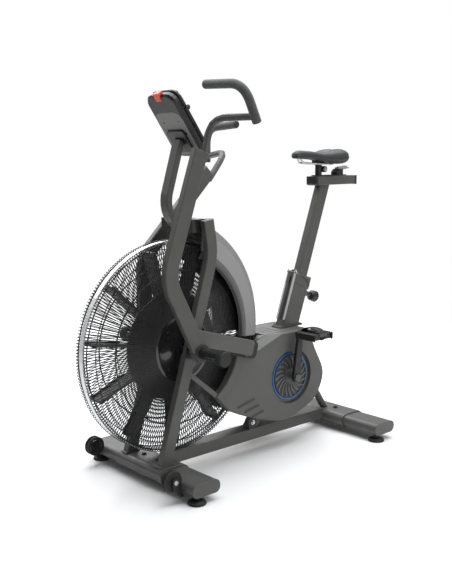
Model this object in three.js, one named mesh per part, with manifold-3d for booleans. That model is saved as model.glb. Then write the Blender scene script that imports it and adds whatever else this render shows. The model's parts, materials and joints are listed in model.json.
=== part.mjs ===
// Air bike: a fan-braked exercise bike with two swinging handle levers.
// Millimetres, +Z up, +X towards the rider's back, -Y on the rider's left, standing on Z = 0.
// Sizes below are measured from the line through the front feet, midway between them.
// The whole bike is then moved along X so that the origin lies under the middle of its length.

import * as THREE from 'three';
import { mergeVertices } from 'three/addons/utils/BufferGeometryUtils.js';
import Module from 'manifold-3d';

const wasm = await Module();
wasm.setup();

// ---------------------------------------------------------------- driving dimensions

const GAP = 0.3; // clearance between two pieces that touch
const ORIGIN_X = 403.5; // the feet line's distance in front of the origin
const LEFT = -1;
const RIGHT = 1;

const FAN_X = 122; // fan axle, which also carries the levers and the foot pegs
const FAN_Z = 449;
const CRANK_X = 608;
const CRANK_Z = 271;
const CRANK_LENGTH = 170;
const CRANK_LEAN = 7; // degrees that the upper arm leans towards the rear at rest
const CRANK_INNER = 112; // |Y| of a crank arm's inner face
const CRANK_OUTER = 126;
const CRANK_AXLE_RADIUS = 10;
const CRANK_AXLE_END = 128;
const PEDAL_INNER = 136;
const PEDAL_OUTER = 232;
const PEDAL_LENGTH = 96;
const SPINDLE_RADIUS = 6;
const TURBINE_INNER = 85.5;
const TURBINE_RADIUS = 84;
const TURBINE_FINS = 14;

const STABILIZER_LENGTH = 585;
const STABILIZER_WIDTH = 112;
const STABILIZER_BOTTOM = 26;
const STABILIZER_TOP = 70;
const FRONT_STABILIZER_X = 25;
const REAR_STABILIZER_X = 916;
const FEET_SPACING = 551;
const FRONT_FOOT_X = 0;
const REAR_FOOT_X = 889;
const SLEEVE_LENGTH = 262;
const SLEEVE_WALL = 4;

const BEAM_WIDTH = 60;
const BEAM_BOTTOM = 40;
const BEAM_TOP = 82;

const LEG_INNER = 85; // |Y| of a fork leg's inner face
const LEG_OUTER = 111;
const LEG_DEPTH = 42;
const CROWN_BOTTOM = 838;
const CROWN_TOP = 882;

const SIDE_BAR_INNER = 115;
const SIDE_BAR_OUTER = 137;
const SIDE_BAR_HEIGHT = 55;
const SIDE_BAR_FRONT = [112, 500];
const SIDE_BAR_BACK = [380, 420];
const LEVER_INNER = 139;
const LEVER_OUTER = 164;
const LEVER_DEPTH = 54;
const LEVER_SWING = 26; // degrees between the forward and the rearward end of the swing
const HANDLE_TUBE_RADIUS = 12;
const GRIP_RADIUS = 15;
const GRIP_Y = 311;
const GRIP_FOOT = [235, 1188];
const GRIP_CORNER = [179, 1306];
const GRIP_END = [173, 1314];
const GRIP_END_Y = 134;
const ARM_FOOT = [150, 1077]; // the tube's lower end, along the rear of the bar
const ARM_BEND = [182, 1208]; // where the lever's tube turns outwards
const GRIP_JOINT = [225, 1208]; // where the lever's tube meets the grip
const PEG_END = 282;

const RING_RADIUS = 361; // silver hoop round the fan cage
const RING_THICKNESS = 4;
const RING_WIDTH = 20;
const WIRE_RADIUS = 1.7;
const WIRES_PER_SIDE = 12;
const CAGE_HUB_RADIUS = 114;
const CAGE_HUB_INNER = 58;
const CAGE_HUB_OUTER = 62;
const BLADES = 11;
const FIRST_BLADE = 7; // degrees above the horizontal
const BLADE_TIP = 338;
const BLADE_WIDTH = 62;
const ROTOR_DISC_RADIUS = 186;
const AXLE_RADIUS = 8;
const RUNNING_GAP = 0.4; // radial, between an axle and what turns on it

const SHROUD_X = 92; // centre of the shroud's arc
const SHROUD_Z = 491;
const SHROUD_RADIUS = 404;

const COVER_OUTER = 96; // |Y| of the housing's side faces
const COVER_INNER = 66;
const COVER_WALL = 4;
const COVER_FRONT_RADIUS = 220; // the covers' front edges are arcs about the fan axle
const BAND_FRONT_RADIUS = 374;
const DECK_Z = 441;
const DISH_RADIUS = 103; // round recess about the crank
const DISH_FLOOR = 80.5;
const GUARD_REACH = 385; // the belt guard's length from the fan axle

const BELT_INNER = 68; // faces of both pulleys
const BELT_OUTER = 80;
const DRIVE_PULLEY_RADIUS = 110;
const FAN_PULLEY_RADIUS = 30;
const BELT_THICKNESS = 3;

const SEAT_LEAN = 0.36; // the seat tube's run towards the back for each unit of height
const SEAT_TUBE_DEPTH = 90;
const SEAT_TUBE_WIDTH = 44;
const SEAT_POST_DEPTH = 52;
const SEAT_POST_WIDTH = 34;
const SEAT_POST_FOOT = 500; // its lower end, inside the tube
const SEAT_TUBE_BOTTOM = 292;
const SEAT_FOOT_X = 681; // the centre line's X at the height of the deck
const KNOB_Z = 574; // where the knob's line meets the tube's centre line
const KNOB_DISTANCE = 101;
const KNOB_PIN_RADIUS = 6;
const SEAT_TUBE_TOP = 630;
const SEAT_TUBE_SHIFT = -3; // the tube's centre line from the post's, towards the back
const RAIL_FRONT = 812;
const RAIL_BACK = 1046;
const RAIL_BOTTOM = 973;
const RAIL_TOP = 1007;
const RAIL_WIDTH = 50;
const CARRIAGE_FRONT = 832;
const CARRIAGE_BACK = 990;
const STEM_X = 850;
const CLAMP_X = 963;
const CLAMP_TOP = 1034;
const SADDLE_PAD_Z = 1057;

const BRACKET_RADIUS = 26; // shell round the crank axle
const BRACKET_HALF = 50;
const FRONT_STRUT_FOOT = [476, 70];
const FRONT_STRUT_HEAD = [602, 255];
const FRONT_STRUT_DEPTH = 36;
const FRONT_STRUT_WIDTH = 46;
const REAR_STRUT_FOOT = [902, 61];
const REAR_STRUT_HEAD = [666, 405];
const REAR_STRUT_RADIUS = 14;

// ---------------------------------------------------------------- materials

function finish(color, roughness, metalness) {
  return () => new THREE.MeshStandardMaterial({ color, roughness, metalness });
}

const framePaint = finish(0x55575a, 0.45, 0.3);
const shellPlastic = finish(0x5f5e5b, 0.5, 0.05);
const shroudPlastic = finish(0x858583, 0.5, 0.05);
const blackPlastic = finish(0x161718, 0.5, 0.0);
const rubber = finish(0x121212, 0.8, 0.0);
const foam = finish(0x3c3d3e, 0.9, 0.0);
const steel = finish(0xa8aaad, 0.3, 0.9);
const silver = finish(0xe4e5e6, 0.3, 0.8);
const wirePaint = finish(0x1a1a1b, 0.5, 0.2);
const redPlastic = finish(0xd8402c, 0.45, 0.0);
const screenGlass = finish(0x0c0f12, 0.1, 0.0);
const saddleSkin = finish(0x47484a, 0.6, 0.0);

// ---------------------------------------------------------------- shape helpers

function toSolid(geometry) {
  geometry.deleteAttribute('normal');
  geometry.deleteAttribute('uv');
  const merged = mergeVertices(geometry, 1e-3);
  return new wasm.Manifold(new wasm.Mesh({
    numProp: 3,
    vertProperties: new Float32Array(merged.attributes.position.array),
    triVerts: new Uint32Array(merged.index.array),
  }));
}

function toGeometry(solid) {
  const mesh = solid.getMesh();
  const geometry = new THREE.BufferGeometry();
  geometry.setAttribute('position', new THREE.BufferAttribute(mesh.vertProperties, 3));
  geometry.setIndex(new THREE.BufferAttribute(mesh.triVerts, 1));
  geometry.computeVertexNormals();
  return geometry;
}

function join(...solids) {
  return solids.reduce((whole, piece) => whole.add(piece));
}

// A closed outline in the XZ plane becomes a slab between two values of Y.
function slab(shape, yLow, yHigh, bevel = 0, curveSegments = 6) {
  const geometry = new THREE.ExtrudeGeometry(shape, {
    depth: yHigh - yLow - 2 * bevel,
    bevelEnabled: bevel > 0,
    bevelThickness: bevel,
    bevelSize: bevel,
    bevelOffset: -bevel,
    bevelSegments: 1,
    curveSegments,
  });
  geometry.rotateX(Math.PI / 2);
  geometry.translate(0, yHigh - bevel, 0);
  return toSolid(geometry);
}

// The same slab on either side of the bike: near and far are distances from the middle plane.
function sideSlab(side, shape, near, far, bevel = 0, curveSegments = 6) {
  const low = side === LEFT ? -far : near;
  const high = side === LEFT ? -near : far;
  return slab(shape, low, high, bevel, curveSegments);
}

function polygon(points) {
  return new THREE.Shape(points.map(([x, z]) => new THREE.Vector2(x, z)));
}

function box(x0, x1, y0, y1, z0, z1) {
  const geometry = new THREE.BoxGeometry(x1 - x0, y1 - y0, z1 - z0);
  geometry.translate((x0 + x1) / 2, (y0 + y1) / 2, (z0 + z1) / 2);
  return toSolid(geometry);
}

// A rod between two points.
function rod(start, end, radius, sides = 16, endRadius = radius) {
  const from = new THREE.Vector3(...start);
  const to = new THREE.Vector3(...end);
  const geometry = new THREE.CylinderGeometry(endRadius, radius, from.distanceTo(to), sides);
  const along = to.clone().sub(from).normalize();
  const turn = new THREE.Quaternion().setFromUnitVectors(new THREE.Vector3(0, 1, 0), along);
  geometry.applyQuaternion(turn);
  const middle = from.add(to).multiplyScalar(0.5);
  geometry.translate(middle.x, middle.y, middle.z);
  return toSolid(geometry);
}

// A rod along Y on one side of the bike, at (x, z).
function sideRod(side, x, z, near, far, radius, sides = 16) {
  return rod([x, side * near, z], [x, side * far, z], radius, sides);
}

// A turned piece: pairs of radius and distance along Y, mirrored to the wanted side.
function turned(side, x, z, profile, sides = 24) {
  const points = profile.map(([r, y]) => new THREE.Vector2(r, y));
  const geometry = new THREE.LatheGeometry(points, sides);
  if (side === LEFT) {
    geometry.rotateX(Math.PI);
  }
  geometry.translate(x, 0, z);
  return outward(toSolid(geometry), geometry);
}

// A lathe whose profile runs the other way comes out inside out, so its faces are turned over.
function outward(solid, geometry) {
  if (solid.volume() > 0) {
    return solid;
  }
  const index = geometry.index.array;
  for (let i = 0; i < index.length; i += 3) {
    [index[i], index[i + 1]] = [index[i + 1], index[i]];
  }
  return toSolid(geometry);
}

// The outline of a strip of constant width along a bent centre line.
function ribbon(line, width) {
  const half = width / 2;
  const edges = [[], []];
  line.forEach((point, i) => {
    const here = new THREE.Vector2(...point);
    const back = i > 0 ? here.clone().sub(new THREE.Vector2(...line[i - 1])).normalize() : null;
    const ahead = i < line.length - 1
      ? new THREE.Vector2(...line[i + 1]).sub(here).normalize() : null;
    const run = (back ?? ahead).clone().add(ahead ?? back).normalize();
    const normal = new THREE.Vector2(-run.y, run.x);
    const segment = ahead ?? back;
    const stretch = half / Math.abs(normal.dot(new THREE.Vector2(-segment.y, segment.x)));
    edges[0].push(here.clone().addScaledVector(normal, stretch));
    edges[1].push(here.clone().addScaledVector(normal, -stretch));
  });
  return new THREE.Shape([...edges[0], ...edges[1].reverse()]);
}

// A bend in a centre line, as points on a quadratic curve.
function bend(from, corner, to, steps) {
  const curve = new THREE.QuadraticBezierCurve(
    new THREE.Vector2(...from), new THREE.Vector2(...corner), new THREE.Vector2(...to));
  return curve.getPoints(steps).map((p) => [p.x, p.y]);
}

// A rectangle with round corners, centred on (x, y).
function roundedRectangle(width, height, radius, x = 0, y = 0, curveSegments = 4) {
  const across = width / 2 - radius;
  const up = height / 2 - radius;
  const corners = [[across, up], [-across, up], [-across, -up], [across, -up]];
  const points = corners.flatMap(([cx, cy], corner) => {
    const steps = Array.from({ length: curveSegments + 1 }, (_, i) => corner + i / curveSegments);
    return steps.map((turn) => new THREE.Vector2(
      x + cx + radius * Math.cos(turn * Math.PI / 2), y + cy + radius * Math.sin(turn * Math.PI / 2)));
  });
  return new THREE.Shape(points);
}

// A shape turned by an angle and carried to (x, z).
function placed(shape, x, z, angle) {
  const points = shape.getPoints().map((p) => p.rotateAround(new THREE.Vector2(), angle));
  return new THREE.Shape(points.map((p) => new THREE.Vector2(p.x + x, p.y + z)));
}

// The outline of a band stretched round two circles.
function around(x0, z0, radius0, x1, z1, radius1, steps = 12) {
  const along = Math.atan2(z1 - z0, x1 - x0);
  const spread = Math.acos((radius0 - radius1) / Math.hypot(x1 - x0, z1 - z0));
  const arc = (x, z, radius, from, to) => Array.from({ length: steps + 1 }, (_, i) => {
    const angle = from + (to - from) * i / steps;
    return new THREE.Vector2(x + radius * Math.cos(angle), z + radius * Math.sin(angle));
  });
  return new THREE.Shape([
    ...arc(x0, z0, radius0, along + spread, along + 2 * Math.PI - spread),
    ...arc(x1, z1, radius1, along - spread, along + spread),
  ]);
}

// Points on an arc about the fan axle, between two angles in degrees above the horizontal.
function fanArc(radius, from, to, steps) {
  return Array.from({ length: steps + 1 }, (_, i) => {
    const angle = THREE.MathUtils.degToRad(from + (to - from) * i / steps);
    return [FAN_X + radius * Math.cos(angle), FAN_Z + radius * Math.sin(angle)];
  });
}

// A smooth line through a few points.
function smooth(points, steps) {
  const curve = new THREE.SplineCurve(points.map(([x, z]) => new THREE.Vector2(x, z)));
  return curve.getPoints(steps).map((p) => [p.x, p.y]);
}

// An anticlockwise outline moved inwards by a wall's thickness.
function inset(line, wall) {
  return line.map(([x, z], i) => {
    const before = line[(i + line.length - 1) % line.length];
    const after = line[(i + 1) % line.length];
    const run = new THREE.Vector2(after[0] - before[0], after[1] - before[1]).normalize();
    return [x - run.y * wall, z + run.x * wall];
  });
}

// A round bar along a line of points, bent at each inner point.
function bentBar(line, radius, bendReach, steps, sides = 10) {
  const points = line.map((point) => new THREE.Vector3(...point));
  const path = new THREE.CurvePath();
  let from = points[0];
  for (let i = 1; i < points.length - 1; i += 1) {
    const corner = points[i];
    const entry = points[i - 1].clone().sub(corner).setLength(bendReach).add(corner);
    const exit = points[i + 1].clone().sub(corner).setLength(bendReach).add(corner);
    path.add(new THREE.LineCurve3(from, entry));
    path.add(new THREE.QuadraticBezierCurve3(entry, corner, exit));
    from = exit;
  }
  path.add(new THREE.LineCurve3(from, points[points.length - 1]));
  const section = new THREE.Shape(Array.from({ length: sides }, (_, i) => new THREE.Vector2(
    radius * Math.cos(2 * Math.PI * i / sides), radius * Math.sin(2 * Math.PI * i / sides))));
  return toSolid(new THREE.ExtrudeGeometry(section, { extrudePath: path, steps, bevelEnabled: false }));
}

function part(name, solid, material) {
  const mesh = new THREE.Mesh(toGeometry(solid), material());
  mesh.name = name;
  return mesh;
}

const bike = new THREE.Group();
bike.position.x = -ORIGIN_X;

// ---------------------------------------------------------------- base

const base = new THREE.Group();
bike.add(base);

function ovalSection(x, grow) {
  const height = STABILIZER_TOP - STABILIZER_BOTTOM + 2 * grow;
  const middle = (STABILIZER_TOP + STABILIZER_BOTTOM) / 2;
  return roundedRectangle(STABILIZER_WIDTH + 2 * grow, height, height / 2 - 1, x, middle, 5);
}

function addStabilizer(name, x) {
  const half = STABILIZER_LENGTH / 2;
  base.add(part(`${name}_stabilizer`, slab(ovalSection(x, 0), -half, half), framePaint));
  const sleeveHalf = SLEEVE_LENGTH / 2;
  const outer = slab(ovalSection(x, SLEEVE_WALL), -sleeveHalf, sleeveHalf);
  const inner = slab(ovalSection(x, GAP), -sleeveHalf - 1, sleeveHalf + 1);
  base.add(part(`${name}_sleeve`, outer.subtract(inner), framePaint));
}

addStabilizer('front', FRONT_STABILIZER_X);
addStabilizer('rear', REAR_STABILIZER_X);

const sleeveReach = STABILIZER_WIDTH / 2 + SLEEVE_WALL + GAP;
const beamFront = FRONT_STABILIZER_X + sleeveReach;
const beamBack = REAR_STABILIZER_X - sleeveReach;
base.add(part('main_beam',
  box(beamFront, beamBack, -BEAM_WIDTH / 2, BEAM_WIDTH / 2, BEAM_BOTTOM, BEAM_TOP), framePaint));

function addFoot(name, x, y) {
  const points = [
    [0, 0], [30, 0], [31, 3], [29, 9], [22, 12], [8, 14],
    [8, STABILIZER_BOTTOM - GAP], [0, STABILIZER_BOTTOM - GAP],
  ].map(([r, z]) => new THREE.Vector2(r, z));
  const geometry = new THREE.LatheGeometry(points, 16);
  geometry.rotateX(Math.PI / 2);
  geometry.translate(x, y, 0);
  base.add(part(name, outward(toSolid(geometry), geometry), rubber));
}

for (const [name, side] of [['left', LEFT], ['right', RIGHT]]) {
  addFoot(`front_${name}_foot`, FRONT_FOOT_X, side * FEET_SPACING / 2);
  addFoot(`rear_${name}_foot`, REAR_FOOT_X, side * FEET_SPACING / 2);
}

// ---------------------------------------------------------------- transport wheels

const WHEEL_X = -61;
const WHEEL_Z = 77;
const WHEEL_RADIUS = 34;
const WHEEL_INNER = 212;
const WHEEL_OUTER = 236;

function addWheel(name, side) {
  const waist = WHEEL_RADIUS - 7;
  const bore = 5;
  const wheel = turned(side, WHEEL_X, WHEEL_Z, [
    [bore, WHEEL_INNER], [WHEEL_RADIUS - 2, WHEEL_INNER], [WHEEL_RADIUS, WHEEL_INNER + 2],
    [WHEEL_RADIUS, WHEEL_INNER + 6], [waist, WHEEL_INNER + 9], [waist, WHEEL_OUTER - 9],
    [WHEEL_RADIUS, WHEEL_OUTER - 6], [WHEEL_RADIUS, WHEEL_OUTER - 2], [WHEEL_RADIUS - 2, WHEEL_OUTER],
    [bore, WHEEL_OUTER], [bore, WHEEL_INNER],
  ], 20);
  base.add(part(`${name}_transport_wheel`, wheel, rubber));

  const arm = polygon([[WHEEL_X - 11, WHEEL_Z - 8], [WHEEL_X + 4, WHEEL_Z + 12], [-34, 62],
    [-32, 40], [-24, STABILIZER_BOTTOM - 4], [-40, STABILIZER_BOTTOM - 4], [WHEEL_X - 4, WHEEL_Z - 30]]);
  const stabilizer = slab(ovalSection(FRONT_STABILIZER_X, GAP), -STABILIZER_LENGTH, STABILIZER_LENGTH);
  const plate = sideSlab(side, arm, WHEEL_OUTER + 1, WHEEL_OUTER + 6).subtract(stabilizer);
  const axle = sideRod(side, WHEEL_X, WHEEL_Z, WHEEL_INNER - 3, WHEEL_OUTER + 2, bore - RUNNING_GAP, 12);
  const boss = sideRod(side, WHEEL_X, WHEEL_Z, WHEEL_OUTER + 5, WHEEL_OUTER + 14, 13, 16);
  base.add(part(`${name}_wheel_bracket`, join(plate, axle, boss), blackPlastic));
}

addWheel('left', LEFT);
addWheel('right', RIGHT);

// ---------------------------------------------------------------- fork and mast

const fork = new THREE.Group();
bike.add(fork);

const LEG_FOOT_Z = STABILIZER_TOP + SLEEVE_WALL + GAP;
const legLine = [[4.6, LEG_FOOT_Z], [196, 680], ...bend([205, 708], [222, 762], [215, 806], 3), [203, 880]];
const STAY_START = [98, 385];
const STAY_END = [239, 269];

function addLeg(name, side) {
  const tube = sideSlab(side, ribbon(legLine, LEG_DEPTH), LEG_INNER, LEG_OUTER, 2);
  const sole = sideSlab(side, polygon([[-22, LEG_FOOT_Z], [34, LEG_FOOT_Z], [34, LEG_FOOT_Z + 6],
    [-22, LEG_FOOT_Z + 6]]), LEG_INNER - 4, LEG_OUTER + 4);
  const stay = sideSlab(side, ribbon([STAY_START, STAY_END], 16), LEG_INNER + 2, LEG_INNER + 10);
  const hole = sideRod(side, FAN_X, FAN_Z, LEG_INNER - 5, LEG_OUTER + 5, AXLE_RADIUS + GAP, 20);
  const trimmed = join(tube, sole, stay).subtract(box(-60, 60, -200, 200, 0, LEG_FOOT_Z));
  fork.add(part(`${name}_leg`, trimmed.subtract(hole), framePaint));
}

addLeg('left', LEFT);
addLeg('right', RIGHT);

const CROWN_FRONT = 152;
const CROWN_BACK = 216;
const crownHalf = LEG_INNER - GAP;
fork.add(part('fork_crown',
  box(CROWN_FRONT, CROWN_BACK, -crownHalf, crownHalf, CROWN_BOTTOM, CROWN_TOP), blackPlastic));

const MAST_WIDTH = 40;
const MAST_DEPTH = 22;
const MAST_TOP = [168, 1140];
const mastLine = [[CROWN_FRONT - GAP, 862], [142, 866], ...bend([130, 878], [104, 916], [113, 962], 5),
  MAST_TOP];
fork.add(part('console_mast',
  slab(ribbon(mastLine, MAST_DEPTH), -MAST_WIDTH / 2, MAST_WIDTH / 2, 2)
    .subtract(box(CROWN_FRONT - GAP, CROWN_BACK, -MAST_WIDTH, MAST_WIDTH, 800, 900)), framePaint));

// ---------------------------------------------------------------- console

const CONSOLE_LENGTH = 240;
const CONSOLE_WIDTH = 150;
const CONSOLE_BACK_DEPTH = 26;
const CONSOLE_FRONT_DEPTH = 12;

// Its own axes: local Y across the bike, local X up the slab, local Z out of the face.
const consoleGroup = new THREE.Group();
const consoleTilt = Math.atan2(0.573, 0.82);
consoleGroup.position.set(164, 0, 1194);
consoleGroup.rotation.y = Math.PI / 2 - consoleTilt;
fork.add(consoleGroup);

function consolePlate(length, width, radius, low, high, bevel, centre = 0) {
  const geometry = new THREE.ExtrudeGeometry(roundedRectangle(length, width, radius), {
    depth: high - low - 2 * bevel,
    bevelEnabled: bevel > 0,
    bevelThickness: bevel,
    bevelSize: bevel,
    bevelOffset: -bevel,
    bevelSegments: 1,
  });
  geometry.translate(centre, 0, low + bevel);
  return toSolid(geometry);
}

const BACK_FACE = -19;
const SEAM = BACK_FACE + CONSOLE_BACK_DEPTH;
const FRONT_FACE = SEAM + GAP + CONSOLE_FRONT_DEPTH;
const tabSlot = consolePlate(30, 30, 3, BACK_FACE - 1, SEAM - 8, 0, -CONSOLE_LENGTH / 2 + 6);
const backShell = consolePlate(CONSOLE_LENGTH, CONSOLE_WIDTH, 34, BACK_FACE, SEAM, 7);
consoleGroup.add(part('console_back', backShell.subtract(tabSlot), blackPlastic));

const SCREEN_LENGTH = 96;
const SCREEN_WIDTH = 112;
const RECESS = FRONT_FACE - 4;
const screenRecess = consolePlate(SCREEN_LENGTH + 1, SCREEN_WIDTH + 1, 5, RECESS, FRONT_FACE + 1, 0, -42);
const keypadRecess = consolePlate(71, 113, 5, RECESS, FRONT_FACE + 1, 0, 50);
const frontShell = consolePlate(CONSOLE_LENGTH, CONSOLE_WIDTH, 34, SEAM + GAP, FRONT_FACE, 4);
const KEY_X = -104;
const KEY_Y = -53;
const KEY_TRAVEL = 2;

function consoleDisc(radius, low, high) {
  const geometry = new THREE.CylinderGeometry(radius, radius, high - low, 16);
  geometry.rotateX(Math.PI / 2);
  geometry.translate(KEY_X, KEY_Y, (low + high) / 2);
  return toSolid(geometry);
}

const keyWell = consoleDisc(8.6, FRONT_FACE - 3 - KEY_TRAVEL, FRONT_FACE + 1);
const recessed = frontShell.subtract(screenRecess).subtract(keypadRecess).subtract(keyWell);
consoleGroup.add(part('console_front', recessed, blackPlastic));
consoleGroup.add(part('console_screen',
  consolePlate(SCREEN_LENGTH, SCREEN_WIDTH, 5, RECESS + GAP, FRONT_FACE - 0.6, 0, -42), screenGlass));
consoleGroup.add(part('console_keypad',
  consolePlate(70, 112, 5, RECESS + GAP, FRONT_FACE - 0.4, 0, 50), rubber));

consoleGroup.add(part('start_button', consoleDisc(8, FRONT_FACE - 3 + GAP, FRONT_FACE + 3), blackPlastic));
consoleGroup.add(part('red_tab',
  consolePlate(29, 29, 3, BACK_FACE - 1.5, SEAM - 8 - GAP, 0, -CONSOLE_LENGTH / 2 + 6.5), redPlastic));

// ---------------------------------------------------------------- fan

const fan = new THREE.Group();
fan.position.set(FAN_X, 0, FAN_Z);
bike.add(fan);

const PEG_START = LEVER_OUTER + 1.5;
const PEG_BORE_END = PEG_END - 32;
const axleEnd = PEG_BORE_END - GAP;
fan.add(part('fan_axle', rod([0, -axleEnd, 0], [0, axleEnd, 0], AXLE_RADIUS, 20), steel));

function makeRotor() {
  const bore = AXLE_RADIUS + RUNNING_GAP;
  const drum = turned(RIGHT, 0, 0, [
    [bore, -40], [44, -40], [48, -36], [48, -3], [ROTOR_DISC_RADIUS, -2], [ROTOR_DISC_RADIUS, 2],
    [48, 3], [48, 36], [44, 40], [18, 40], [18, BELT_INNER - GAP], [bore, BELT_INNER - GAP], [bore, -40],
  ], 30);
  const blade = new THREE.BoxGeometry(BLADE_TIP - 46, BLADE_WIDTH, 3);
  blade.translate((BLADE_TIP + 46) / 2, 0, 0);
  const blades = [];
  for (let i = 0; i < BLADES; i += 1) {
    const turn = THREE.MathUtils.degToRad(FIRST_BLADE + i * 360 / BLADES);
    blades.push(toSolid(blade.clone().rotateY(-turn)));
  }
  return join(drum, ...blades);
}

fan.add(part('fan_rotor', makeRotor(), blackPlastic));
fan.add(part('fan_pulley', turned(RIGHT, 0, 0, [
  [AXLE_RADIUS + RUNNING_GAP, BELT_INNER], [FAN_PULLEY_RADIUS + 4, BELT_INNER],
  [FAN_PULLEY_RADIUS + 4, BELT_INNER + 1], [FAN_PULLEY_RADIUS, BELT_INNER + 1.5],
  [FAN_PULLEY_RADIUS, BELT_OUTER - 1.5], [FAN_PULLEY_RADIUS + 4, BELT_OUTER - 1],
  [FAN_PULLEY_RADIUS + 4, BELT_OUTER], [AXLE_RADIUS + RUNNING_GAP, BELT_OUTER],
  [AXLE_RADIUS + RUNNING_GAP, BELT_INNER],
], 24), steel));

// ---------------------------------------------------------------- fan cage

const ringHalf = RING_WIDTH / 2;
fan.add(part('cage_ring', turned(RIGHT, 0, 0, [
  [RING_RADIUS - RING_THICKNESS, -ringHalf], [RING_RADIUS, -ringHalf], [RING_RADIUS, ringHalf],
  [RING_RADIUS - RING_THICKNESS, ringHalf], [RING_RADIUS - RING_THICKNESS, -ringHalf],
], 64), silver));

// Radius and distance from the middle plane along one cage wire, from the hoop to the hub plate.
const HUB_PLATE_MIDDLE = (CAGE_HUB_INNER + CAGE_HUB_OUTER) / 2;
const WIRE_PROFILE = [
  [RING_RADIUS - RING_THICKNESS - 2, ringHalf + 2], [RING_RADIUS - 9, 26], [RING_RADIUS - 17, 33],
  [RING_RADIUS - 60, 43], [262, 50], [190, 56], [CAGE_HUB_RADIUS - 6, HUB_PLATE_MIDDLE],
];

function hoop(side, radius, y, thickness) {
  const half = thickness / 2;
  return turned(side, 0, 0, [[radius - half, y - half], [radius + half, y - half],
    [radius + half, y + half], [radius - half, y + half], [radius - half, y - half]], 30);
}

function makeGrille(side) {
  const outline = ribbon(WIRE_PROFILE.map(([r, y]) => [r, side * y]), 2 * WIRE_RADIUS);
  const wire = new THREE.ExtrudeGeometry(outline, { depth: 2 * WIRE_RADIUS, bevelEnabled: false });
  wire.translate(0, 0, -WIRE_RADIUS);
  const pieces = [];
  for (let i = 0; i < WIRES_PER_SIDE; i += 1) {
    pieces.push(toSolid(wire.clone().rotateY(i * 2 * Math.PI / WIRES_PER_SIDE)));
  }
  const shaftHole = side === RIGHT ? 18 + 1.5 : AXLE_RADIUS + GAP;
  pieces.push(turned(side, 0, 0, [
    [shaftHole, CAGE_HUB_INNER], [CAGE_HUB_RADIUS, CAGE_HUB_INNER], [CAGE_HUB_RADIUS, CAGE_HUB_OUTER],
    [shaftHole, CAGE_HUB_OUTER], [shaftHole, CAGE_HUB_INNER],
  ], 24));
  pieces.push(hoop(side, RING_RADIUS - 10, 27, 4));
  pieces.push(hoop(side, RING_RADIUS - RING_THICKNESS - 2, ringHalf + 2.5, 3.4));
  pieces.push(hoop(side, 262, 50, 4.5));
  return join(...pieces);
}

fan.add(part('left_grille', makeGrille(LEFT), wirePaint));
fan.add(part('right_grille', makeGrille(RIGHT), wirePaint));

// ---------------------------------------------------------------- shroud over the back of the cage

// Radius from the shroud's centre and distance from the middle plane, round the closed section.
const SHROUD_SECTION = [
  [SHROUD_RADIUS, GAP], [SHROUD_RADIUS - 3, 24], [366, 58], [290, 80], [279, 77], [275, 70],
  [279, 68], [291, 76], [363.5, 54], [SHROUD_RADIUS - 5, 22], [SHROUD_RADIUS - 3, GAP],
];
const SHROUD_START = -7; // degrees above the horizontal through the shroud's centre
const SHROUD_SWEEP = 76.5;

function makeShroud(side) {
  const closed = [...SHROUD_SECTION, SHROUD_SECTION[0]];
  const whole = turned(side, SHROUD_X, SHROUD_Z, closed, 96);
  const reach = 600;
  const from = THREE.MathUtils.degToRad(SHROUD_START);
  const to = THREE.MathUtils.degToRad(SHROUD_START + SHROUD_SWEEP);
  const wedge = polygon([[SHROUD_X, SHROUD_Z],
    [SHROUD_X + reach * Math.cos(from), SHROUD_Z + reach * Math.sin(from)],
    [SHROUD_X + reach, SHROUD_Z + reach],
    [SHROUD_X + reach * Math.cos(to), SHROUD_Z + reach * Math.sin(to)]]);
  return whole.intersect(slab(wedge, -100, 100));
}

bike.add(part('left_shroud', makeShroud(LEFT), shroudPlastic));
bike.add(part('right_shroud', makeShroud(RIGHT), shroudPlastic));

// ---------------------------------------------------------------- housing

const housing = new THREE.Group();
bike.add(housing);

const HOUSING_BOTTOM = [[386, 160], [496, 123], [574, 110], [654, 126], [729, 158], [764, 198]];
const HOUSING_BACK = [[782, 246], [774, 290], [735, 362], [706, 435]];
const DECK_BACK = [700, DECK_Z];
const DECK_FRONT = [498, DECK_Z];

const coverLine = [
  ...smooth([[240.5, 263.7], [300, 201], ...HOUSING_BOTTOM, ...HOUSING_BACK], 34),
  DECK_BACK, DECK_FRONT, [426, 416], [400, 414], [384, 420], [356, 418],
  ...fanArc(COVER_FRONT_RADIUS, -14, -54, 7),
];
const bandLine = [
  ...smooth([[402, 154], ...HOUSING_BOTTOM.slice(1), ...HOUSING_BACK], 28),
  DECK_BACK, DECK_FRONT, ...fanArc(BAND_FRONT_RADIUS, -5, -46, 10),
];

// What lies above the plane that falls from the deck's edge to the top of a side face.
function aboveShoulder(side, drop) {
  const block = new THREE.BoxGeometry(500, 500, 200);
  block.translate(0, 0, 100 - drop);
  const normal = new THREE.Vector3(-0.271, side * 0.579, 0.769).normalize();
  block.applyQuaternion(new THREE.Quaternion().setFromUnitVectors(new THREE.Vector3(0, 0, 1), normal));
  block.translate(562, side * COVER_OUTER, DECK_Z);
  return toSolid(block).intersect(box(402, 570, -COVER_OUTER - 1, COVER_OUTER + 1, 300, DECK_Z + 1));
}

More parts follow.
